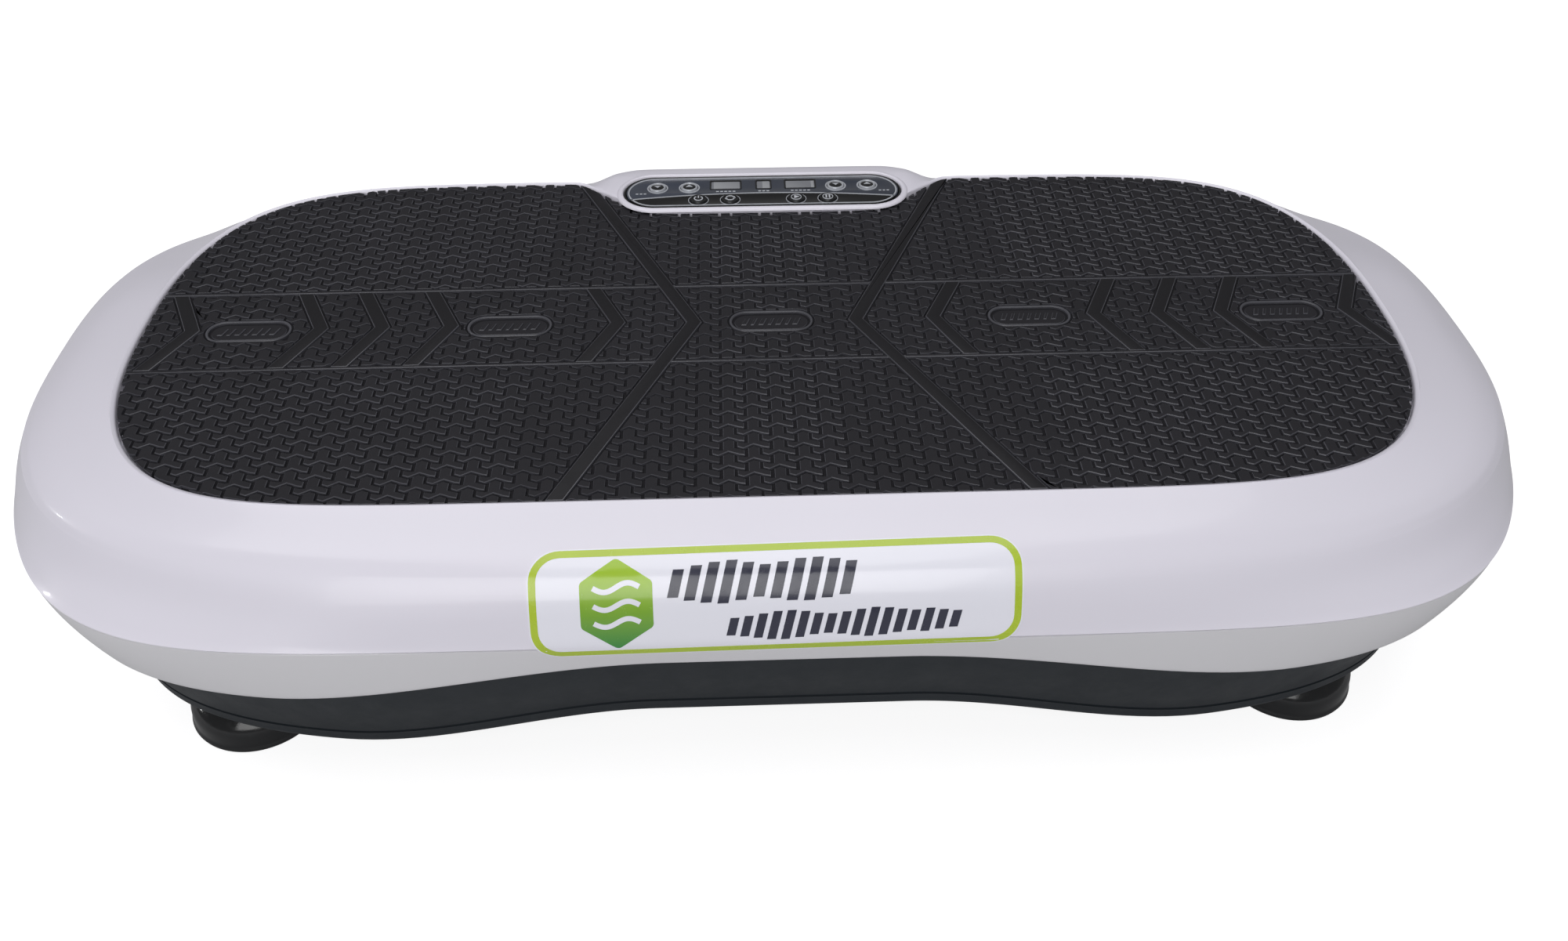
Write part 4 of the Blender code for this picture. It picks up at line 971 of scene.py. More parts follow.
def carve(subject, cuts=(), clip=None):
    """Parts of a polygon inside clip and outside every cut, as loops."""
    verts, faces = [], []
    for poly in [subject] + ([clip] if clip else []) + list(cuts):
        faces.append(list(range(len(verts), len(verts) + len(poly))))
        verts += [Vector(point) for point in ccw(poly)]
    points, _, cells, _, _, origins = delaunay_2d_cdt(verts, [], faces, 1, 1e-5)
    first_cut = 2 if clip else 1
    directed = set()
    for cell, source in zip(cells, origins):
        if 0 not in source or (clip and 1 not in source) or any(k >= first_cut for k in source):
            continue
        for i in range(len(cell)):
            directed.add((cell[i], cell[(i + 1) % len(cell)]))
    kept = []
    for loop in trace_loops({edge for edge in directed if (edge[1], edge[0]) not in directed}):
        loop = [tuple(points[i]) for i in loop]
        clean = []
        for i, here in enumerate(loop):
            before, after = loop[i - 1], loop[(i + 1) % len(loop)]
            turn = (here[0] - before[0]) * (after[1] - here[1]) - (here[1] - before[1]) * (
                after[0] - here[0]
            )
            if math.dist(here, before) > 0.02 and abs(turn) > 1e-4:
                clean.append(here)
        if len(clean) >= 3 and area_of(clean) > 0:
            kept.append(clean)
    return kept


def chevron(x, y, lean_up, lean_down, y_top, y_bottom):
    """A bent band with its left edge's bend at x, y; leans are x per y on each leg."""
    left = [
        (x + lean_up * (y_top - y), y_top),
        (x, y),
        (x + lean_down * (y - y_bottom), y_bottom),
    ]
    return left + [(px + BAND_WIDTH, py) for px, py in reversed(left)]


long_bands = [
    chevron(-37.5, -5, -0.4425, -0.440, 130, -135),
    chevron(35.0, -5, 0.425, 0.520, 130, -135),
]
short_bands = [
    chevron(x, -4, lean, lean, RIB_Y[0][0], RIB_Y[1][1])
    for lean, places in (
        (-0.45, (-259.5, -203.0, -176.0, -145.5, -71.5)),
        (0.45, (70.0, 143.0, 172.0, 201.0, 258.0)),
    )
    for x in places
]
mat_ribs = [[(-290, low), (290, low), (290, high), (-290, high)] for low, high in RIB_Y]
ovals = [stadium(18.75, 8.0, x, OVAL_Y, 20) for x in OVAL_X]


def extent(loop):
    xs, ys = zip(*loop)
    return min(xs), min(ys), max(xs), max(ys)


def overlap(first, second):
    return (second[0] < first[2] and second[2] > first[0]
            and second[1] < first[3] and second[3] > first[1])


cuts = [
    offset_loop(loop, TREAD_GAP).tolist()
    for loop in long_bands + short_bands + mat_ribs + ovals
]
cut_extents = [extent(cut) for cut in cuts]
tread_halves = {"left": Stack(), "right": Stack()}


def metres(loop):
    return [(x / 1000, y / 1000) for x, y in loop]


def folds(loop, inset):
    """True when moving the loop inward turns one of its edges round."""
    before = np.asarray(ccw(loop), float)
    after = offset_loop(before, -inset)
    edges, moved = (np.roll(points, -1, 0) - points for points in (before, after))
    return bool(((edges * moved).sum(1) <= 0).any())


def add_tile(loop, cut=False):
    """Adds a tile, with a finer bevel if it was cut; slivers are left out."""
    perimeter = sum(math.dist(here, after) for here, after in zip(loop, loop[1:] + loop[:1]))
    size = area_of(loop)
    width = 2 * size / perimeter
    if size < 0.6 or width < 0.32:
        return
    bevel = min(CUT_TILE_BEVEL if cut else TILE_BEVEL, 0.00028 * width)
    while cut and bevel and folds(loop, bevel * 1000):
        bevel = bevel / 2 if bevel > 0.00003 else 0.0
    half = tread_halves["left" if sum(point[0] for point in loop) < 0 else "right"]
    half.prism(metres(loop), TREAD_BASE_Z, MAT_TOP_Z, bevel, edge=1)


def lay_tile(x0, y0):
    poly = [(x0 + x, y0 + y) for x, y in TILE]
    flags = [inside_mat(x, y) for x, y in poly]
    if not any(flags):
        return
    reach = extent(poly)
    near = [cut for cut, box in zip(cuts, cut_extents) if overlap(reach, box)]
    if all(flags) and not near:
        add_tile(ccw(poly))
        return
    for loop in carve(poly, near, None if all(flags) else CLIP):
        add_tile(loop, cut=True)


# two interleaved grids, half a pitch apart
for grid_x, grid_y in (
    (TILE_X, TILE_Y), (TILE_X + TILE_PITCH_X / 2, TILE_Y + TILE_PITCH_Y / 2)
):
    for i in range(-16, 18):
        for j in range(-9, 26):
            x, y = grid_x + TILE_PITCH_X * i, grid_y + TILE_PITCH_Y * j
            if abs(x) <= 300 and abs(y) <= 135:
                lay_tile(x, y)
# slot 1 of each tread half, the tiles' walls and bevels, carries the painted highlight
for key, half in tread_halves.items():
    stack_piece(f"mat_tread_{key}", half, 30, "platform", "mat_rubber", "tread", "tread_edge")

# the sheet's colour holds painted shade for the grooves between the tiles
sheet_rows = [
    mat_ring(MAT_BOTTOM_Z, -0.0010),
    mat_ring(MAT_FLOOR_Z - 0.0004, -0.0008),
    mat_ring(MAT_FLOOR_Z, -0.0012),
]
piece(
    "mat_sheet", loft("mat_sheet", sheet_rows, angle=35),
    "platform", "mat_rubber", "tread_floor", stands_for="rubber_mat",
)


def tread_strips(name, groups, around, material):
    """Long shapes clipped to the mat: groups of (loops, top height)."""
    strips = Stack()
    for loops, top in groups:
        for whole in loops:
            for loop in carve(whole, around, CLIP):
                strips.prism(metres(loop), TREAD_BASE_Z, top, bevel=0.0004, edge=1, steps=2)
    stack_piece(name, strips, 30, "platform", "mat_rubber", material, "tread_edge")


band_groups = [(long_bands, MAT_TOP_Z), (short_bands, MAT_TOP_Z - 0.00002)]
tread_strips("mat_bands", band_groups, (), "tread_band")
tread_strips("mat_ribs", [(mat_ribs, MAT_TOP_Z + 0.0001)], long_bands, "tread")

# ovals: a raised rim, a low island and seven slanted dashes in each
OVAL_RIM = [
    (-0.0006, TREAD_BASE_Z), (0.0006, TREAD_BASE_Z), (0.0006, MAT_TOP_Z - 0.0003),
    (0.0004, MAT_TOP_Z), (-0.0002, MAT_TOP_Z), (-0.0006, MAT_TOP_Z - 0.0004),
]
DASH_PITCH, DASH_LEAN, DASH_HALF = 3.8, 0.9, 2.6
oval_stack = Stack()
for x, loop in zip(OVAL_X, ovals):
    oval_stack.band(metres(offset_loop(loop, -0.6)), OVAL_RIM, 1)
    island = metres(offset_loop(loop, -2.4))
    oval_stack.prism(island, TREAD_BASE_Z, MAT_FLOOR_Z + 0.0003, bevel=0.0002, edge=1)
    for k in range(7):
        half = (1.5 if k % 2 else 2.3) / 2
        middle = x - 3 * DASH_PITCH + DASH_PITCH * k
        dash = [
            (middle - half - DASH_LEAN, OVAL_Y - DASH_HALF),
            (middle + half - DASH_LEAN, OVAL_Y - DASH_HALF),
            (middle + half + DASH_LEAN, OVAL_Y + DASH_HALF),
            (middle - half + DASH_LEAN, OVAL_Y + DASH_HALF),
        ]
        oval_stack.prism(metres(dash), TREAD_BASE_Z, MAT_FLOOR_Z + 0.0009, bevel=0.0003, edge=1)
stack_piece("mat_ovals", oval_stack, 30, "platform", "mat_rubber", "tread", "tread_edge")

# ----------------------------------------------------------------- console
PANEL_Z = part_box("control_panel")[1].z  # the panel's upper face
# profiles along the panel's loop: (offset outward, height above the pod)
LIP_PROFILE = (
    (0.0030, -0.0004), (0.0028, 0.0002), (0.0020, 0.0007), (0.0009, 0.0010),
    (0.0002, 0.0009), (-0.0003, 0.0004), (-0.0004, -0.0010), (0.0014, -0.0016),
)
BEZEL_TOP_PROFILE = ((-0.0006, -0.0002), (-0.0009, 0.0001), (-0.0013, 0.0001), (-0.0016, -0.0002))
BEZEL_BOTTOM_Z = 0.1300

lip = Stack()
lip.band(PANEL_LOOP, [(offset, POD_Z + z) for offset, z in LIP_PROFILE])
stack_piece("console_lip", lip, 60, "platform", "housing_white", "white")

bezel = Stack()
bezel.band(
    PANEL_LOOP,
    [(-0.0006, BEZEL_BOTTOM_Z)]
    + [(offset, POD_Z + z) for offset, z in BEZEL_TOP_PROFILE]
    + [(-0.0017, BEZEL_BOTTOM_Z)],
)
stack_piece(
    "vis_console_bezel", bezel, 40, "platform", "black_plastic", "plastic",
    stands_for="console_bezel",
)

keys = {}  # name: (x, y, top z)
for name in UPPER_KEYS + LOWER_KEYS:
    low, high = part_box(name)
    keys[name] = ((low.x + high.x) / 2, (low.y + high.y) / 2, high.z)
displays = {}  # name: (x, y, width, height, bottom z)
for name in ("time_display", "mode_display", "speed_display"):
    low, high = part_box(name)
    displays[name] = (
        (low.x + high.x) / 2, (low.y + high.y) / 2, high.x - low.x, high.y - low.y, low.z
    )


def panel_mesh():
    """The panel plate, a filled curve with round holes for the keys and windows."""
    bevel = 0.00012
    curve = bpy.data.curves.new("panel_outline", "CURVE")
    curve.dimensions, curve.fill_mode = "2D", "BOTH"
    curve.extrude, curve.bevel_depth, curve.bevel_resolution = 0.00065, bevel, 1
    loops = [stadium(0.0694 - bevel, 0.0147 - bevel, 0, PANEL_Y, 40)]
    loops += [circle(0.00472 + bevel, x, y, 48) for x, y, _ in keys.values()]
    for x, y, width, height, _ in displays.values():
        loops.append(rounded(width + 0.0006, height + 0.0006, x, y, 0.0006, 3))
    for loop in loops:
        spline = curve.splines.new("POLY")
        spline.points.add(len(loop) - 1)
        for point, (x, y) in zip(spline.points, loop):
            point.co = (x, y, 0, 1)
        spline.use_cyclic_u = True
    ob = link_object("panel_tmp", curve)
    ob.location = (0, 0, PANEL_Z - 0.0008)
    mesh = evaluated_mesh(ob)
    mesh.transform(ob.matrix_world)
    bpy.data.objects.remove(ob, do_unlink=True)
    mesh.name = "vis_control_panel"
    clean_up(mesh, 30)
    return mesh


piece(
    "vis_control_panel", panel_mesh(), "platform", "panel_slate", "panel",
    stands_for="control_panel",
)

# silver outline and dividing arc
print_low, print_high = PANEL_Z - 0.0002, PANEL_Z + 0.00010
lines = Stack()
lines.band(
    stadium(0.0683, 0.0137, 0, PANEL_Y, 40),
    [(-0.00045, print_low), (0.00045, print_low), (0.00040, print_high), (-0.00040, print_high)],
)
divider = [(x, ARC_Y - ARC_BEND * x * x) for x in np.linspace(-0.0668, 0.0668, 41).tolist()]
lines.prism(strip(divider, 0.00042), print_low, print_high)
stack_piece("console_outline", lines, 30, "platform", "key_chrome", "silver")

# display windows, each with a dark frame
for name, (x, y, width, height, bottom) in displays.items():
    window = Stack()
    glass = rounded(width - 0.0002, height - 0.0002, x, y, 0.0005, 4)
    window.prism(glass, bottom, PANEL_Z - 0.0003, bevel=0.0002)
    stack_piece("vis_" + name, window, 30, "platform", "display_grey", "display", stands_for=name)
    surround = Stack()
    surround.band(
        rounded(width + 0.0008, height + 0.0008, x, y, 0.0008, 4),
        [(-0.0005, PANEL_Z - 0.0004), (0.0003, PANEL_Z - 0.0001),
         (0.0003, PANEL_Z + 0.00012), (-0.0004, PANEL_Z + 0.00012)],
    )
    stack_piece("frame_" + name, surround, 30, "platform", "black_plastic", "gloss_black")

# keys: a cap with a grooved edge and a dark crown; (radius, depth below the top)
KEY_TOP_PROFILE = (
    (0.0043, 0.0008), (0.00415, 0.0003), (0.0039, 0.00005), (0.0035, 0.0001),
    (0.0032, 0.0005), (0.0024, 0.00025), (0.0012, 0.00008), (0.0, 0.0),
)


def key_stack(x, y, top):
    key = Stack()
    profile = [(0.0, 0.1320), (0.0043, 0.1320)]
    profile += [(radius, top - depth) for radius, depth in KEY_TOP_PROFILE]
    key.lathe(profile, x, y, 56)
    for k, face in enumerate(key.faces):
        corners = [key.verts[i] for i in face]
        radius = sum(math.hypot(px - x, py - y) for px, py, _ in corners) / len(face)
        height = sum(pz for _, _, pz in corners) / len(face)
        key.indices[k] = 1 if height > 0.137 and radius < 0.0033 else 0
    return key


for name, (x, y, top) in keys.items():
    upper = name in UPPER_KEYS
    stack_piece(
        "vis_" + name, key_stack(x, y, top), 35, name + "_body", "key_chrome",
        "silver" if upper else "plastic", "gloss_black", stands_for=name,
    )
    half = 0.00040 if upper else 0.00022
    surround = Stack()
    surround.band(
        circle(0.0050, x, y, 56),
        [(-half, PANEL_Z - 0.0003), (half, PANEL_Z - 0.0002),
         (half - 0.00005, PANEL_Z + 0.00022), (0.00007 - half, PANEL_Z + 0.00022)],
    )
    stack_piece("ring_" + name, surround, 35, "platform", "key_chrome", "silver")


# signs printed on the keys
def triangle_sign(x, y, direction):
    """Points rearward for direction 1, forward for -1."""
    base_y = y - 0.0008 * direction
    return [[(x - 0.0017, base_y), (x + 0.0017, base_y), (x, y + 0.0014 * direction)]]


def power_sign(x, y):
    return [sector(x, y, 0.0018, 0.0023, 125, 415), bar(x, y + 0.0014, 0.0005, 0.0020)]


def mode_sign(x, y):
    return [
        sector(x, y, 0.0018, 0.0023, 20, 160),
        sector(x, y, 0.0018, 0.0023, 200, 340),
        [(x + 0.0014, y + 0.0002), (x + 0.0027, y + 0.0002), (x + 0.0021, y + 0.0015)],
        [(x - 0.0027, y - 0.0002), (x - 0.0014, y - 0.0002), (x - 0.0021, y - 0.0015)],
    ]


def thin_circle(x, y):
    return sector(x, y, 0.0024, 0.0027, 0, 359, 40)


def start_sign(x, y):
    arrow = [(x - 0.0010, y - 0.0015), (x + 0.0016, y), (x - 0.0010, y + 0.0015)]
    return [arrow, thin_circle(x, y)]


def pause_sign(x, y):
    return [bar(x + shift, y, 0.0007, 0.0028) for shift in (-0.0008, 0.0008)] + [thin_circle(x, y)]


def key_sign(name, key, draw, material, *extra):
    x, y, top = keys[key]
    sign = prisms(draw(x, y, *extra), top - 0.0004, top + 0.00008)
    stack_piece(name, sign, 30, key + "_body", "label_white", material)


for name in UPPER_KEYS:
    key_sign("sign_" + name, name, triangle_sign, "silver", 1 if name.endswith("up") else -1)
for key, draw in zip(LOWER_KEYS, (power_sign, mode_sign, start_sign, pause_sign)):
    key_sign(key.replace("key", "sign"), key, draw, "ink")


def dashes(cx, y, count, pitch, width, height):
    return [bar(cx + (k - (count - 1) / 2) * pitch, y, width, height) for k in range(count)]


# rows of plain dashes on the panel
marks = []
for x, _, width, _, _ in displays.values():
    marks += dashes(x, 0.1099, 5 if width > 0.01 else 3, pitch=0.0021, width=0.0014, height=0.00075)
for x in (-0.0620, 0.0620):
    marks += dashes(x, 0.1086, 3, pitch=0.0020, width=0.0013, height=0.0007)
for name in LOWER_KEYS:
    marks += dashes(keys[name][0], 0.0963, 4, pitch=0.0019, width=0.0012, height=0.0007)
marks_stack = prisms(marks, PANEL_Z - 0.0002, PANEL_Z + 0.00006)
stack_piece("console_marks", marks_stack, 30, "platform", "label_white", "ink")

# ----------------------------------------------------------------- front badge
# Drawn flat as (x, distance down the surface), then laid on the housing's front.
BADGE_X0, BADGE_X1, BADGE_CORNER = -0.0945, 0.0895, 0.0120
BADGE_SKEW = 0.012  # the sheet sits slightly askew
PROFILE_TOP_Z, BADGE_TOP_Z = 0.1324, 0.1311
BADGE_END_Z = SKIRT_TOP_Z - (SKIRT_TOP_Z - SKIRT_END_Z - SKIRT_RISE) * 0.34

front_rows = []
for row in outer_rows[:-2] + [skirt_row(t) for t in np.linspace(0.0, 0.5, 9)]:
    row = row[row[:, 1] < -0.02]
    front_rows.append(row[np.argsort(row[:, 0])])
profiles = {}


def front_profile(x):
    """(y, z) points down the front at x, and the length along them."""
    key = round(x, 6)
    if key not in profiles:
        points = np.array([
            [np.interp(x, row[:, 0], row[:, 1]), np.interp(x, row[:, 0], row[:, 2])]
            for row in front_rows
        ])
        below = int(np.argmax(points[:, 1] < PROFILE_TOP_Z))
        before, after = points[below - 1], points[below]
        share = (before[1] - PROFILE_TOP_Z) / (before[1] - after[1])
        first = before + (after - before) * share
        points = np.vstack([first[None], points[below:]])
        gaps = np.linalg.norm(np.diff(points, axis=0), axis=1)
        profiles[key] = (points, np.concatenate([[0], np.cumsum(gaps)]))
    return profiles[key]


middle_points, middle_length = front_profile(0.0)
BADGE_TOP = float(np.interp(-BADGE_TOP_Z, -middle_points[:, 1], middle_length))
BADGE_HEIGHT = float(np.interp(-BADGE_END_Z, -middle_points[:, 1], middle_length)) - BADGE_TOP


def badge_point(x, down, out):
    """The place at x, down along the surface from the badge's upper edge, out from it."""
    points, length = front_profile(x)

    def surface(distance):
        return (np.interp(distance, length, points[:, 0]),
                np.interp(distance, length, points[:, 1]))

    down = down + BADGE_TOP - BADGE_SKEW * (x - BADGE_X0)
    y, z = surface(down)
    y_above, z_above = surface(max(0.0, down - 0.0020))
    y_below, z_below = surface(min(length[-1], down + 0.0020))
    dy, dz = y_below - y_above, z_below - z_above
    slant = math.hypot(dy, dz)
    return (x, y + dz / slant * out, z - dy / slant * out)


def badge_piece(name, stack, material, cell=0.0022, stands_for=None):
    """Slices flat shapes into cells and lays them on the surface."""
    mesh = build_mesh(name, stack.verts, stack.faces, 0)
    bm = bmesh.new()
    bm.from_mesh(mesh)
    spans = [[vert.co[axis] for vert in bm.verts] for axis in (0, 1)]
    for axis, pitch in ((0, cell * 3), (1, cell)):
        low, high = min(spans[axis]), max(spans[axis])
        for k in range(1, int((high - low) / pitch) + 1):
            place, normal = [0, 0, 0], [0, 0, 0]
            place[axis], normal[axis] = low + k * pitch, 1
            bmesh.ops.bisect_plane(
                bm, geom=bm.verts[:] + bm.edges[:] + bm.faces[:], dist=1e-7,
                plane_co=place, plane_no=normal,
            )
    for vert in bm.verts:
        vert.co = badge_point(vert.co.x, max(0.0, vert.co.y), vert.co.z)
    bmesh.ops.recalc_face_normals(bm, faces=bm.faces)
    bm.to_mesh(mesh)
    bm.free()
    shade(mesh, 35)
    piece(name, mesh, "platform", "label_white", material, stands_for=stands_for)


sheet = rounded(
    BADGE_X1 - BADGE_X0, BADGE_HEIGHT, (BADGE_X0 + BADGE_X1) / 2, BADGE_HEIGHT / 2,
    BADGE_CORNER, 10,
)
film = prisms([sheet], -0.00010, 0.00035)
badge_piece("badge_film", film, "paper", stands_for="front_label")

BORDER_INSET, BORDER_HALF = 0.0019, 0.0027 / 2
border = Stack()
border.band(
    offset_loop(sheet, -BORDER_INSET),
    [(-BORDER_HALF, 0.00025), (BORDER_HALF, 0.00025),
     (BORDER_HALF, 0.00042), (-BORDER_HALF, 0.00042)],
)
badge_piece("badge_border", border, "lime")

# emblem: a rounded hexagon with three waves
EMBLEM_X, EMBLEM_DOWN = -0.0618, BADGE_HEIGHT * 0.50
EMBLEM_HALF_WIDTH, EMBLEM_HALF_HEIGHT = 0.0130, BADGE_HEIGHT * 0.5 - 0.0066
hexagon = []
for i in range(6):
    t = math.radians(60 * i + 30)
    corner_x = EMBLEM_X + EMBLEM_HALF_WIDTH * math.cos(t)
    corner_y = EMBLEM_DOWN + EMBLEM_HALF_HEIGHT * math.sin(t)
    hexagon += arc(corner_x, corner_y, 0.0022, 60 * i, 60 * i + 60, 6)
badge_piece("badge_emblem", prisms([hexagon], 0.00025, 0.00044), "badge")

WAVE_LENGTH, WAVE_SWING, WAVE_PITCH = 0.0172, 0.0016, 0.0068
waves = []
for k in (-1, 0, 1):
    path = [
        (EMBLEM_X - WAVE_LENGTH / 2 + WAVE_LENGTH * i / 24,
         EMBLEM_DOWN + k * WAVE_PITCH + WAVE_SWING * math.sin(2 * math.pi * i / 24))
        for i in range(25)
    ]
    waves.append(strip(path, 0.0010))
badge_piece("badge_waves", prisms(waves, 0.00030, 0.00052), "paper", cell=0.0012)

# two rows of slanted bars: first x, middle, pitch, full height, height factors
BAR_ROWS = (
    (-0.0398, BADGE_HEIGHT * 0.33, 0.0064, 0.0160,
     (0.45, 0.7, 0.9, 1.0, 0.8, 0.6, 0.75, 0.95, 1.0, 0.85, 0.65)),
    (-0.0190, BADGE_HEIGHT * 0.735, 0.0052, 0.0118,
     (0.4, 0.55, 0.75, 0.95, 1.0, 0.85, 0.6, 0.5, 0.65, 0.85, 1.0, 0.9, 0.7, 0.55, 0.7, 0.5,
      0.35)),
)
bars = []
for first_x, down, pitch, full, factors in BAR_ROWS:
    for k, factor in enumerate(factors):
        height = full * (0.35 + 0.65 * factor)
        x, half, lean = first_x + pitch * k, pitch * 0.64 / 2, 0.12 * height
        bars.append([
            (x - half - lean, down + height / 2), (x + half - lean, down + height / 2),
            (x + half + lean, down - height / 2), (x - half + lean, down - height / 2),
        ])
badge_piece("badge_bars", prisms(bars, 0.00025, 0.00044), "navy")

# ----------------------------------------------------------------- mains inlet at the rear
inlet_frame = Stack()
inlet_frame.band(
    rounded(inlet_width, inlet_height, inlet_mid.x, inlet_mid.z, 0.0022),
    [
        (-0.0019, inlet_lo.y), (-0.0001, inlet_lo.y), (-0.0001, inlet_hi.y - 0.0008),
        (-0.0004, inlet_hi.y - 0.0002), (-0.0010, inlet_hi.y), (-0.0016, inlet_hi.y - 0.0003),
        (-0.0019, inlet_hi.y - 0.0010),
    ],
)
inlet_frame.swap_yz()
stack_piece("inlet_frame", inlet_frame, 40, "base", "black_plastic", "plastic")

# two small screws beside the socket and the switch: (radius, y from the seat)
INLET_SCREW = (
    (0.0, -0.0030), (0.0022, -0.0030), (0.0022, 0.0), (0.0020, 0.0006), (0.0012, 0.0009),
    (0.0, 0.0010),
)
seat_y = inlet_lo.y + 0.0035
socket_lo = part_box("mains_socket")[0]
inlet_screws = Stack()
for x in (
    (socket_lo.x + inlet_mid.x - inlet_width / 2) / 2 + 0.0002,
    inlet_mid.x + inlet_width / 2 - 0.0050,
):
    inlet_screws.lathe([(radius, seat_y + y) for radius, y in INLET_SCREW], x, inlet_mid.z, 28)
inlet_screws.swap_yz()
stack_piece("inlet_screws", inlet_screws, 35, "base", "steel_zinc", "steel")

# ----------------------------------------------------------------- underside
RIB_HALF = 0.0009


def add_rib(stack, x0, x1, y0, y1, depth):
    """A slim closed bar that hangs under the arched floor."""
    count = 28 if abs(x1 - x0) > 0.01 else 1
    base = len(stack.verts)
    for k in range(count + 1):
        x = x0 + (x1 - x0) * k / count
        z = floor_z(x)
        stack.verts += [
            (x, y0, z + 0.0008), (x, y1, z + 0.0008),
            (x, y1 - 0.0003, z - depth), (x, y0 + 0.0003, z - depth),
        ]
    for k in range(count):
        bridge(stack.faces, base + 4 * k, base + 4 * k + 4, 4)
    stack.faces.append(tuple(base + i for i in (3, 2, 1, 0)))
    stack.faces.append(tuple(base + 4 * count + i for i in (0, 1, 2, 3)))
    stack.fill_indices(0)


tray_ribs = Stack()
for y, reach in ((0.062, 0.272), (0.122, 0.196)):
    for rib_y in (-y, y):
        add_rib(tray_ribs, -reach, reach, rib_y - RIB_HALF, rib_y + RIB_HALF, depth=0.0022)
for x in (-0.262, -0.100, -0.050, 0.0, 0.050, 0.100, 0.262):
    reach = 0.0610 if abs(x) > 0.2 else 0.1210
    add_rib(tray_ribs, x - RIB_HALF, x + RIB_HALF, -reach, reach, depth=0.0018)
stack_piece("tray_ribs", tray_ribs, 30, "base", "base_charcoal", "under")

# turned profiles: (radius, height above the underside)
SCREW_BOSS = (
    (0.0045, 0.0006), (0.0062, 0.0006), (0.0060, -0.0016), (0.0055, -0.0020),
    (0.0048, -0.0020), (0.0045, -0.0016),
)
SCREW_HEAD = (
    (0.0, 0.0004), (0.0040, 0.0004), (0.0040, -0.0006), (0.0034, -0.0011),
    (0.0012, -0.0014), (0.0010, -0.0004), (0.0, -0.0002),
)
FOOT_COLLAR = (
    (0.0118, 0.0010), (0.0150, 0.0010), (0.0146, -0.0014), (0.0140, -0.0018),
    (0.0124, -0.0018), (0.0118, -0.0012),
)
# one quadrant's screws as (x, y), mirrored into the other three
SCREW_PLACES = ((0.150, 0.100), (0.2700, 0.0300), (0.0750, 0.100), (0.200, 0.0400))


def lathe_under(stack, profile, x, y, segments):
    z0 = floor_z(x)
    stack.lathe([(radius, z0 + z) for radius, z in profile], x, y, segments)


bosses, heads = Stack(), Stack()
for place_x, place_y in SCREW_PLACES:
    for x in (-place_x, place_x):
        for y in (-place_y, place_y):
            lathe_under(bosses, SCREW_BOSS, x, y, 40)
            lathe_under(heads, SCREW_HEAD, x, y, 32)
for name in FEET:
    middle = box_middle(name)
    lathe_under(bosses, FOOT_COLLAR, middle.x, middle.y, 56)
stack_piece("tray_bosses", bosses, 40, "base", "base_charcoal", "under")
stack_piece("tray_screws", heads, 35, "base", "steel_zinc", "steel")

# rating foil with five plain bars, aligned at their left ends
FOIL_X, FOIL_Z, BARS_WIDTH = -0.228, floor_z(-0.225), 0.036
foil = prisms([rounded(0.046, 0.030, FOIL_X, 0.0, 0.002, 5)], FOIL_Z - 0.0003, FOIL_Z + 0.0002)
stack_piece("rating_foil", foil, 30, "base", "grey_plastic", "plate")
foil_bars = [
    bar(FOIL_X - (BARS_WIDTH - width) / 2, 0.0100 - 0.0050 * k, width, 0.0012)
    for k, width in enumerate((0.034, 0.026, 0.030, 0.020, 0.028))
]
foil_stack = prisms(foil_bars, FOIL_Z - 0.00042, FOIL_Z - 0.0002)
stack_piece("rating_bars", foil_stack, 30, "base", "grey_plastic", "plastic")

# ----------------------------------------------------------------- CAD nodes shown as they are
CAD_FINISH = {
    "steel": ("pivot_axle", "pivot_tube", "wrist_pin", "crank_shaft"),
    "dark_steel": (
        "chassis_plate", "pivot_bracket_front", "pivot_bracket_rear", "motor_can",
        "motor_cradle", "rocker_frame", "drive_yoke",
    ),
    "bronze": ("pivot_bush_front", "pivot_bush_rear"),
    "alu": (
        "bearing_block_front", "bearing_block_rear", "motor_end_cap", "heat_sink",
        "motor_pulley", "crank_pulley", "connecting_rod",
    ),
    "belt": ("drive_belt",),
    "grey": ("board_carrier", "deck_plate", "switch_rocker"),
    "pcb": ("power_board", "console_pcb"),
    "copper": ("transformer", "motor_rotor"),
    "plastic": ("capacitor", "mains_socket", "switch_frame", "inlet_panel"),
    "rubber": (
        "motor_lead", "buffer_front_left", "buffer_front_right", "buffer_rear_left",
        "buffer_rear_right",
    ),
}
for key, names in CAD_FINISH.items():
    for name in names:
        NODES[name].data.materials.clear()
        NODES[name].data.materials.append(MATERIALS[key])

# ================================================================= stage
scene = bpy.context.scene


def add_camera():
    """Looks down and rearward from in front of the platform; angles in radians."""
    yaw, pitch, roll = 0.0422, 0.7037, 0.0037
    data = bpy.data.cameras.new("camera")
    data.lens, data.sensor_width, data.clip_start = 31.53, 36.0, 0.01
    camera = link_object("camera", data)
    scene.camera = camera
    forward = Vector((
        math.sin(yaw) * math.cos(pitch), math.cos(yaw) * math.cos(pitch), -math.sin(pitch)
    ))
    level = Vector((math.cos(yaw), -math.sin(yaw), 0.0))
    upright = level.cross(forward)
    right = math.cos(roll) * level + math.sin(roll) * upright
    up = -math.sin(roll) * level + math.cos(roll) * upright
    matrix = Matrix((right, up, -forward)).transposed().to_4x4()
    matrix.translation = Vector((-0.0151, -0.5177, 0.4832))
    camera.matrix_world = matrix


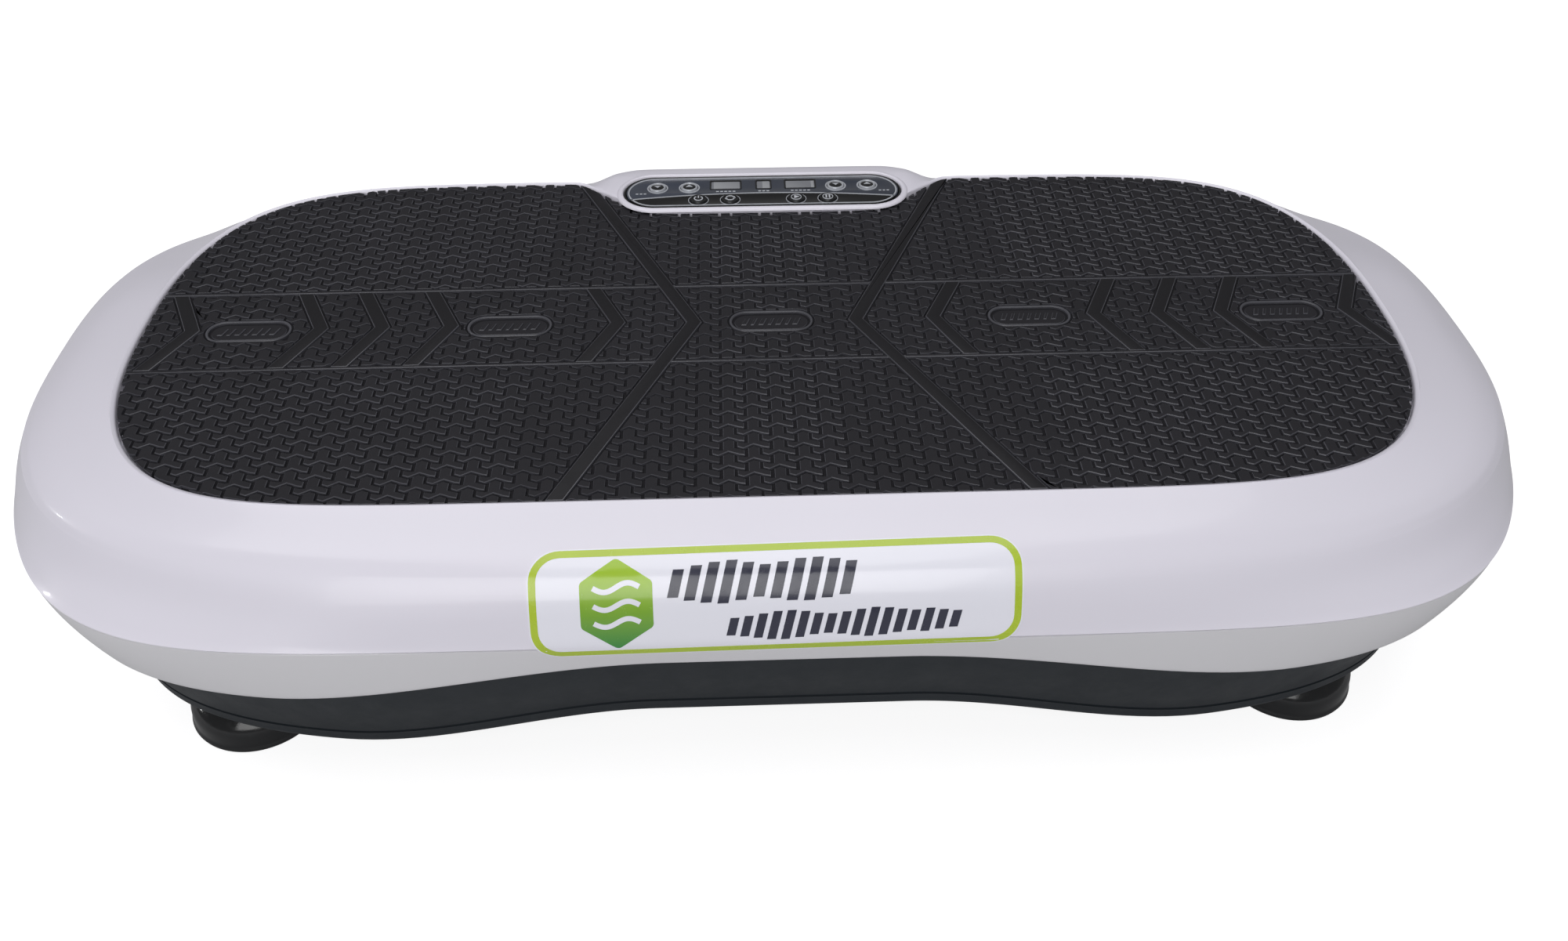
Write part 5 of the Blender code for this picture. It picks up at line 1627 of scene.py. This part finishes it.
def floor_material():
    s = Shader("pale_floor")
    # the far floor, out of the lights' reach, stays as pale to the camera as the near floor
    position = s.node("ShaderNodeNewGeometry").outputs["Position"]
    reach = s.node("ShaderNodeVectorMath", position, settings={"operation": "LENGTH"})
    glow = s.remap(reach.outputs["Value"], 0.74, 0.93, start=1.2, end=3.2)
    camera_ray = s.node("ShaderNodeLightPath").outputs[0]
    s.set(
        Base_Color=s.mix(
            s.remap(s.noise(2.0, 2), 0, 1), (0.50, 0.50, 0.51, 1), (0.52, 0.52, 0.53, 1)
        ),
        Roughness=0.9,
        Specular_IOR_Level=0.1,
        Emission_Color=(1.0, 1.0, 1.0, 1.0),
        Emission_Strength=s.math("ADD", 0.06, s.math("MULTIPLY", camera_ray, glow)),
    )
    # seen from below the floor lets the view through, so the underside can be looked at
    clear = s.node("ShaderNodeBsdfTransparent").outputs[0]
    backfacing = s.node("ShaderNodeNewGeometry").outputs["Backfacing"]
    pick = s.node("ShaderNodeMixShader", backfacing, s.bsdf.outputs[0], clear)
    s.feed(s.tree.nodes["Material Output"].inputs["Surface"], pick.outputs[0])
    return s.material


def add_floor():
    corners = [(-40, -40, 0), (40, -40, 0), (40, 40, 0), (-40, 40, 0)]
    floor = link_object("floor", build_mesh("floor", corners, [(0, 1, 2, 3)], 0))
    if floor.data.polygons[0].normal.z < 0:
        floor.data.flip_normals()
    floor.data.materials.append(floor_material())


def set_world():
    """A dim white surround that looks brighter to the camera than it lights."""
    ambient, camera_gain = 0.18, 0.80
    world = bpy.data.worlds.new("studio")
    world.use_nodes = True
    tree = world.node_tree
    background = tree.nodes["Background"]
    background.inputs[0].default_value = (1.0, 1.0, 1.0, 1.0)
    background.inputs[1].default_value = ambient
    path = tree.nodes.new("ShaderNodeLightPath")
    gain, total = (tree.nodes.new("ShaderNodeMath") for _ in range(2))
    gain.operation, total.operation = "MULTIPLY", "ADD"
    gain.inputs[1].default_value, total.inputs[1].default_value = camera_gain, ambient
    tree.links.new(path.outputs[0], gain.inputs[0])
    tree.links.new(gain.outputs[0], total.inputs[0])
    tree.links.new(total.outputs[0], background.inputs[1])
    scene.world = world


def area_light(name, place, aim, size, power, colour=(1, 1, 1)):
    data = bpy.data.lights.new(name, "AREA")
    data.shape = "RECTANGLE"
    data.size = data.size_y = size
    data.energy, data.color = power, colour
    light = bpy.data.objects.new(name, data)
    light.location = place
    light.rotation_euler = (Vector(aim) - Vector(place)).to_track_quat("-Z", "Y").to_euler()
    scene.collection.objects.link(light)


add_camera()
add_floor()
set_world()
area_light(
    "overhead", place=(-0.2, 0.1, 2.4), aim=(0, 0, 0), size=2.2, power=30,
    colour=(0.99, 0.99, 1.0),
)
area_light("key_left", place=(-0.35, -2.2, 1.5), aim=(0, 0, 0.08), size=1.8, power=29)
area_light(
    "glint_left", place=(-2.32, 0.06, 0.58), aim=(-0.28, -0.115, 0.12), size=0.11, power=1.4
)
scene.view_settings.view_transform = "Standard"
scene.view_settings.look = "None"
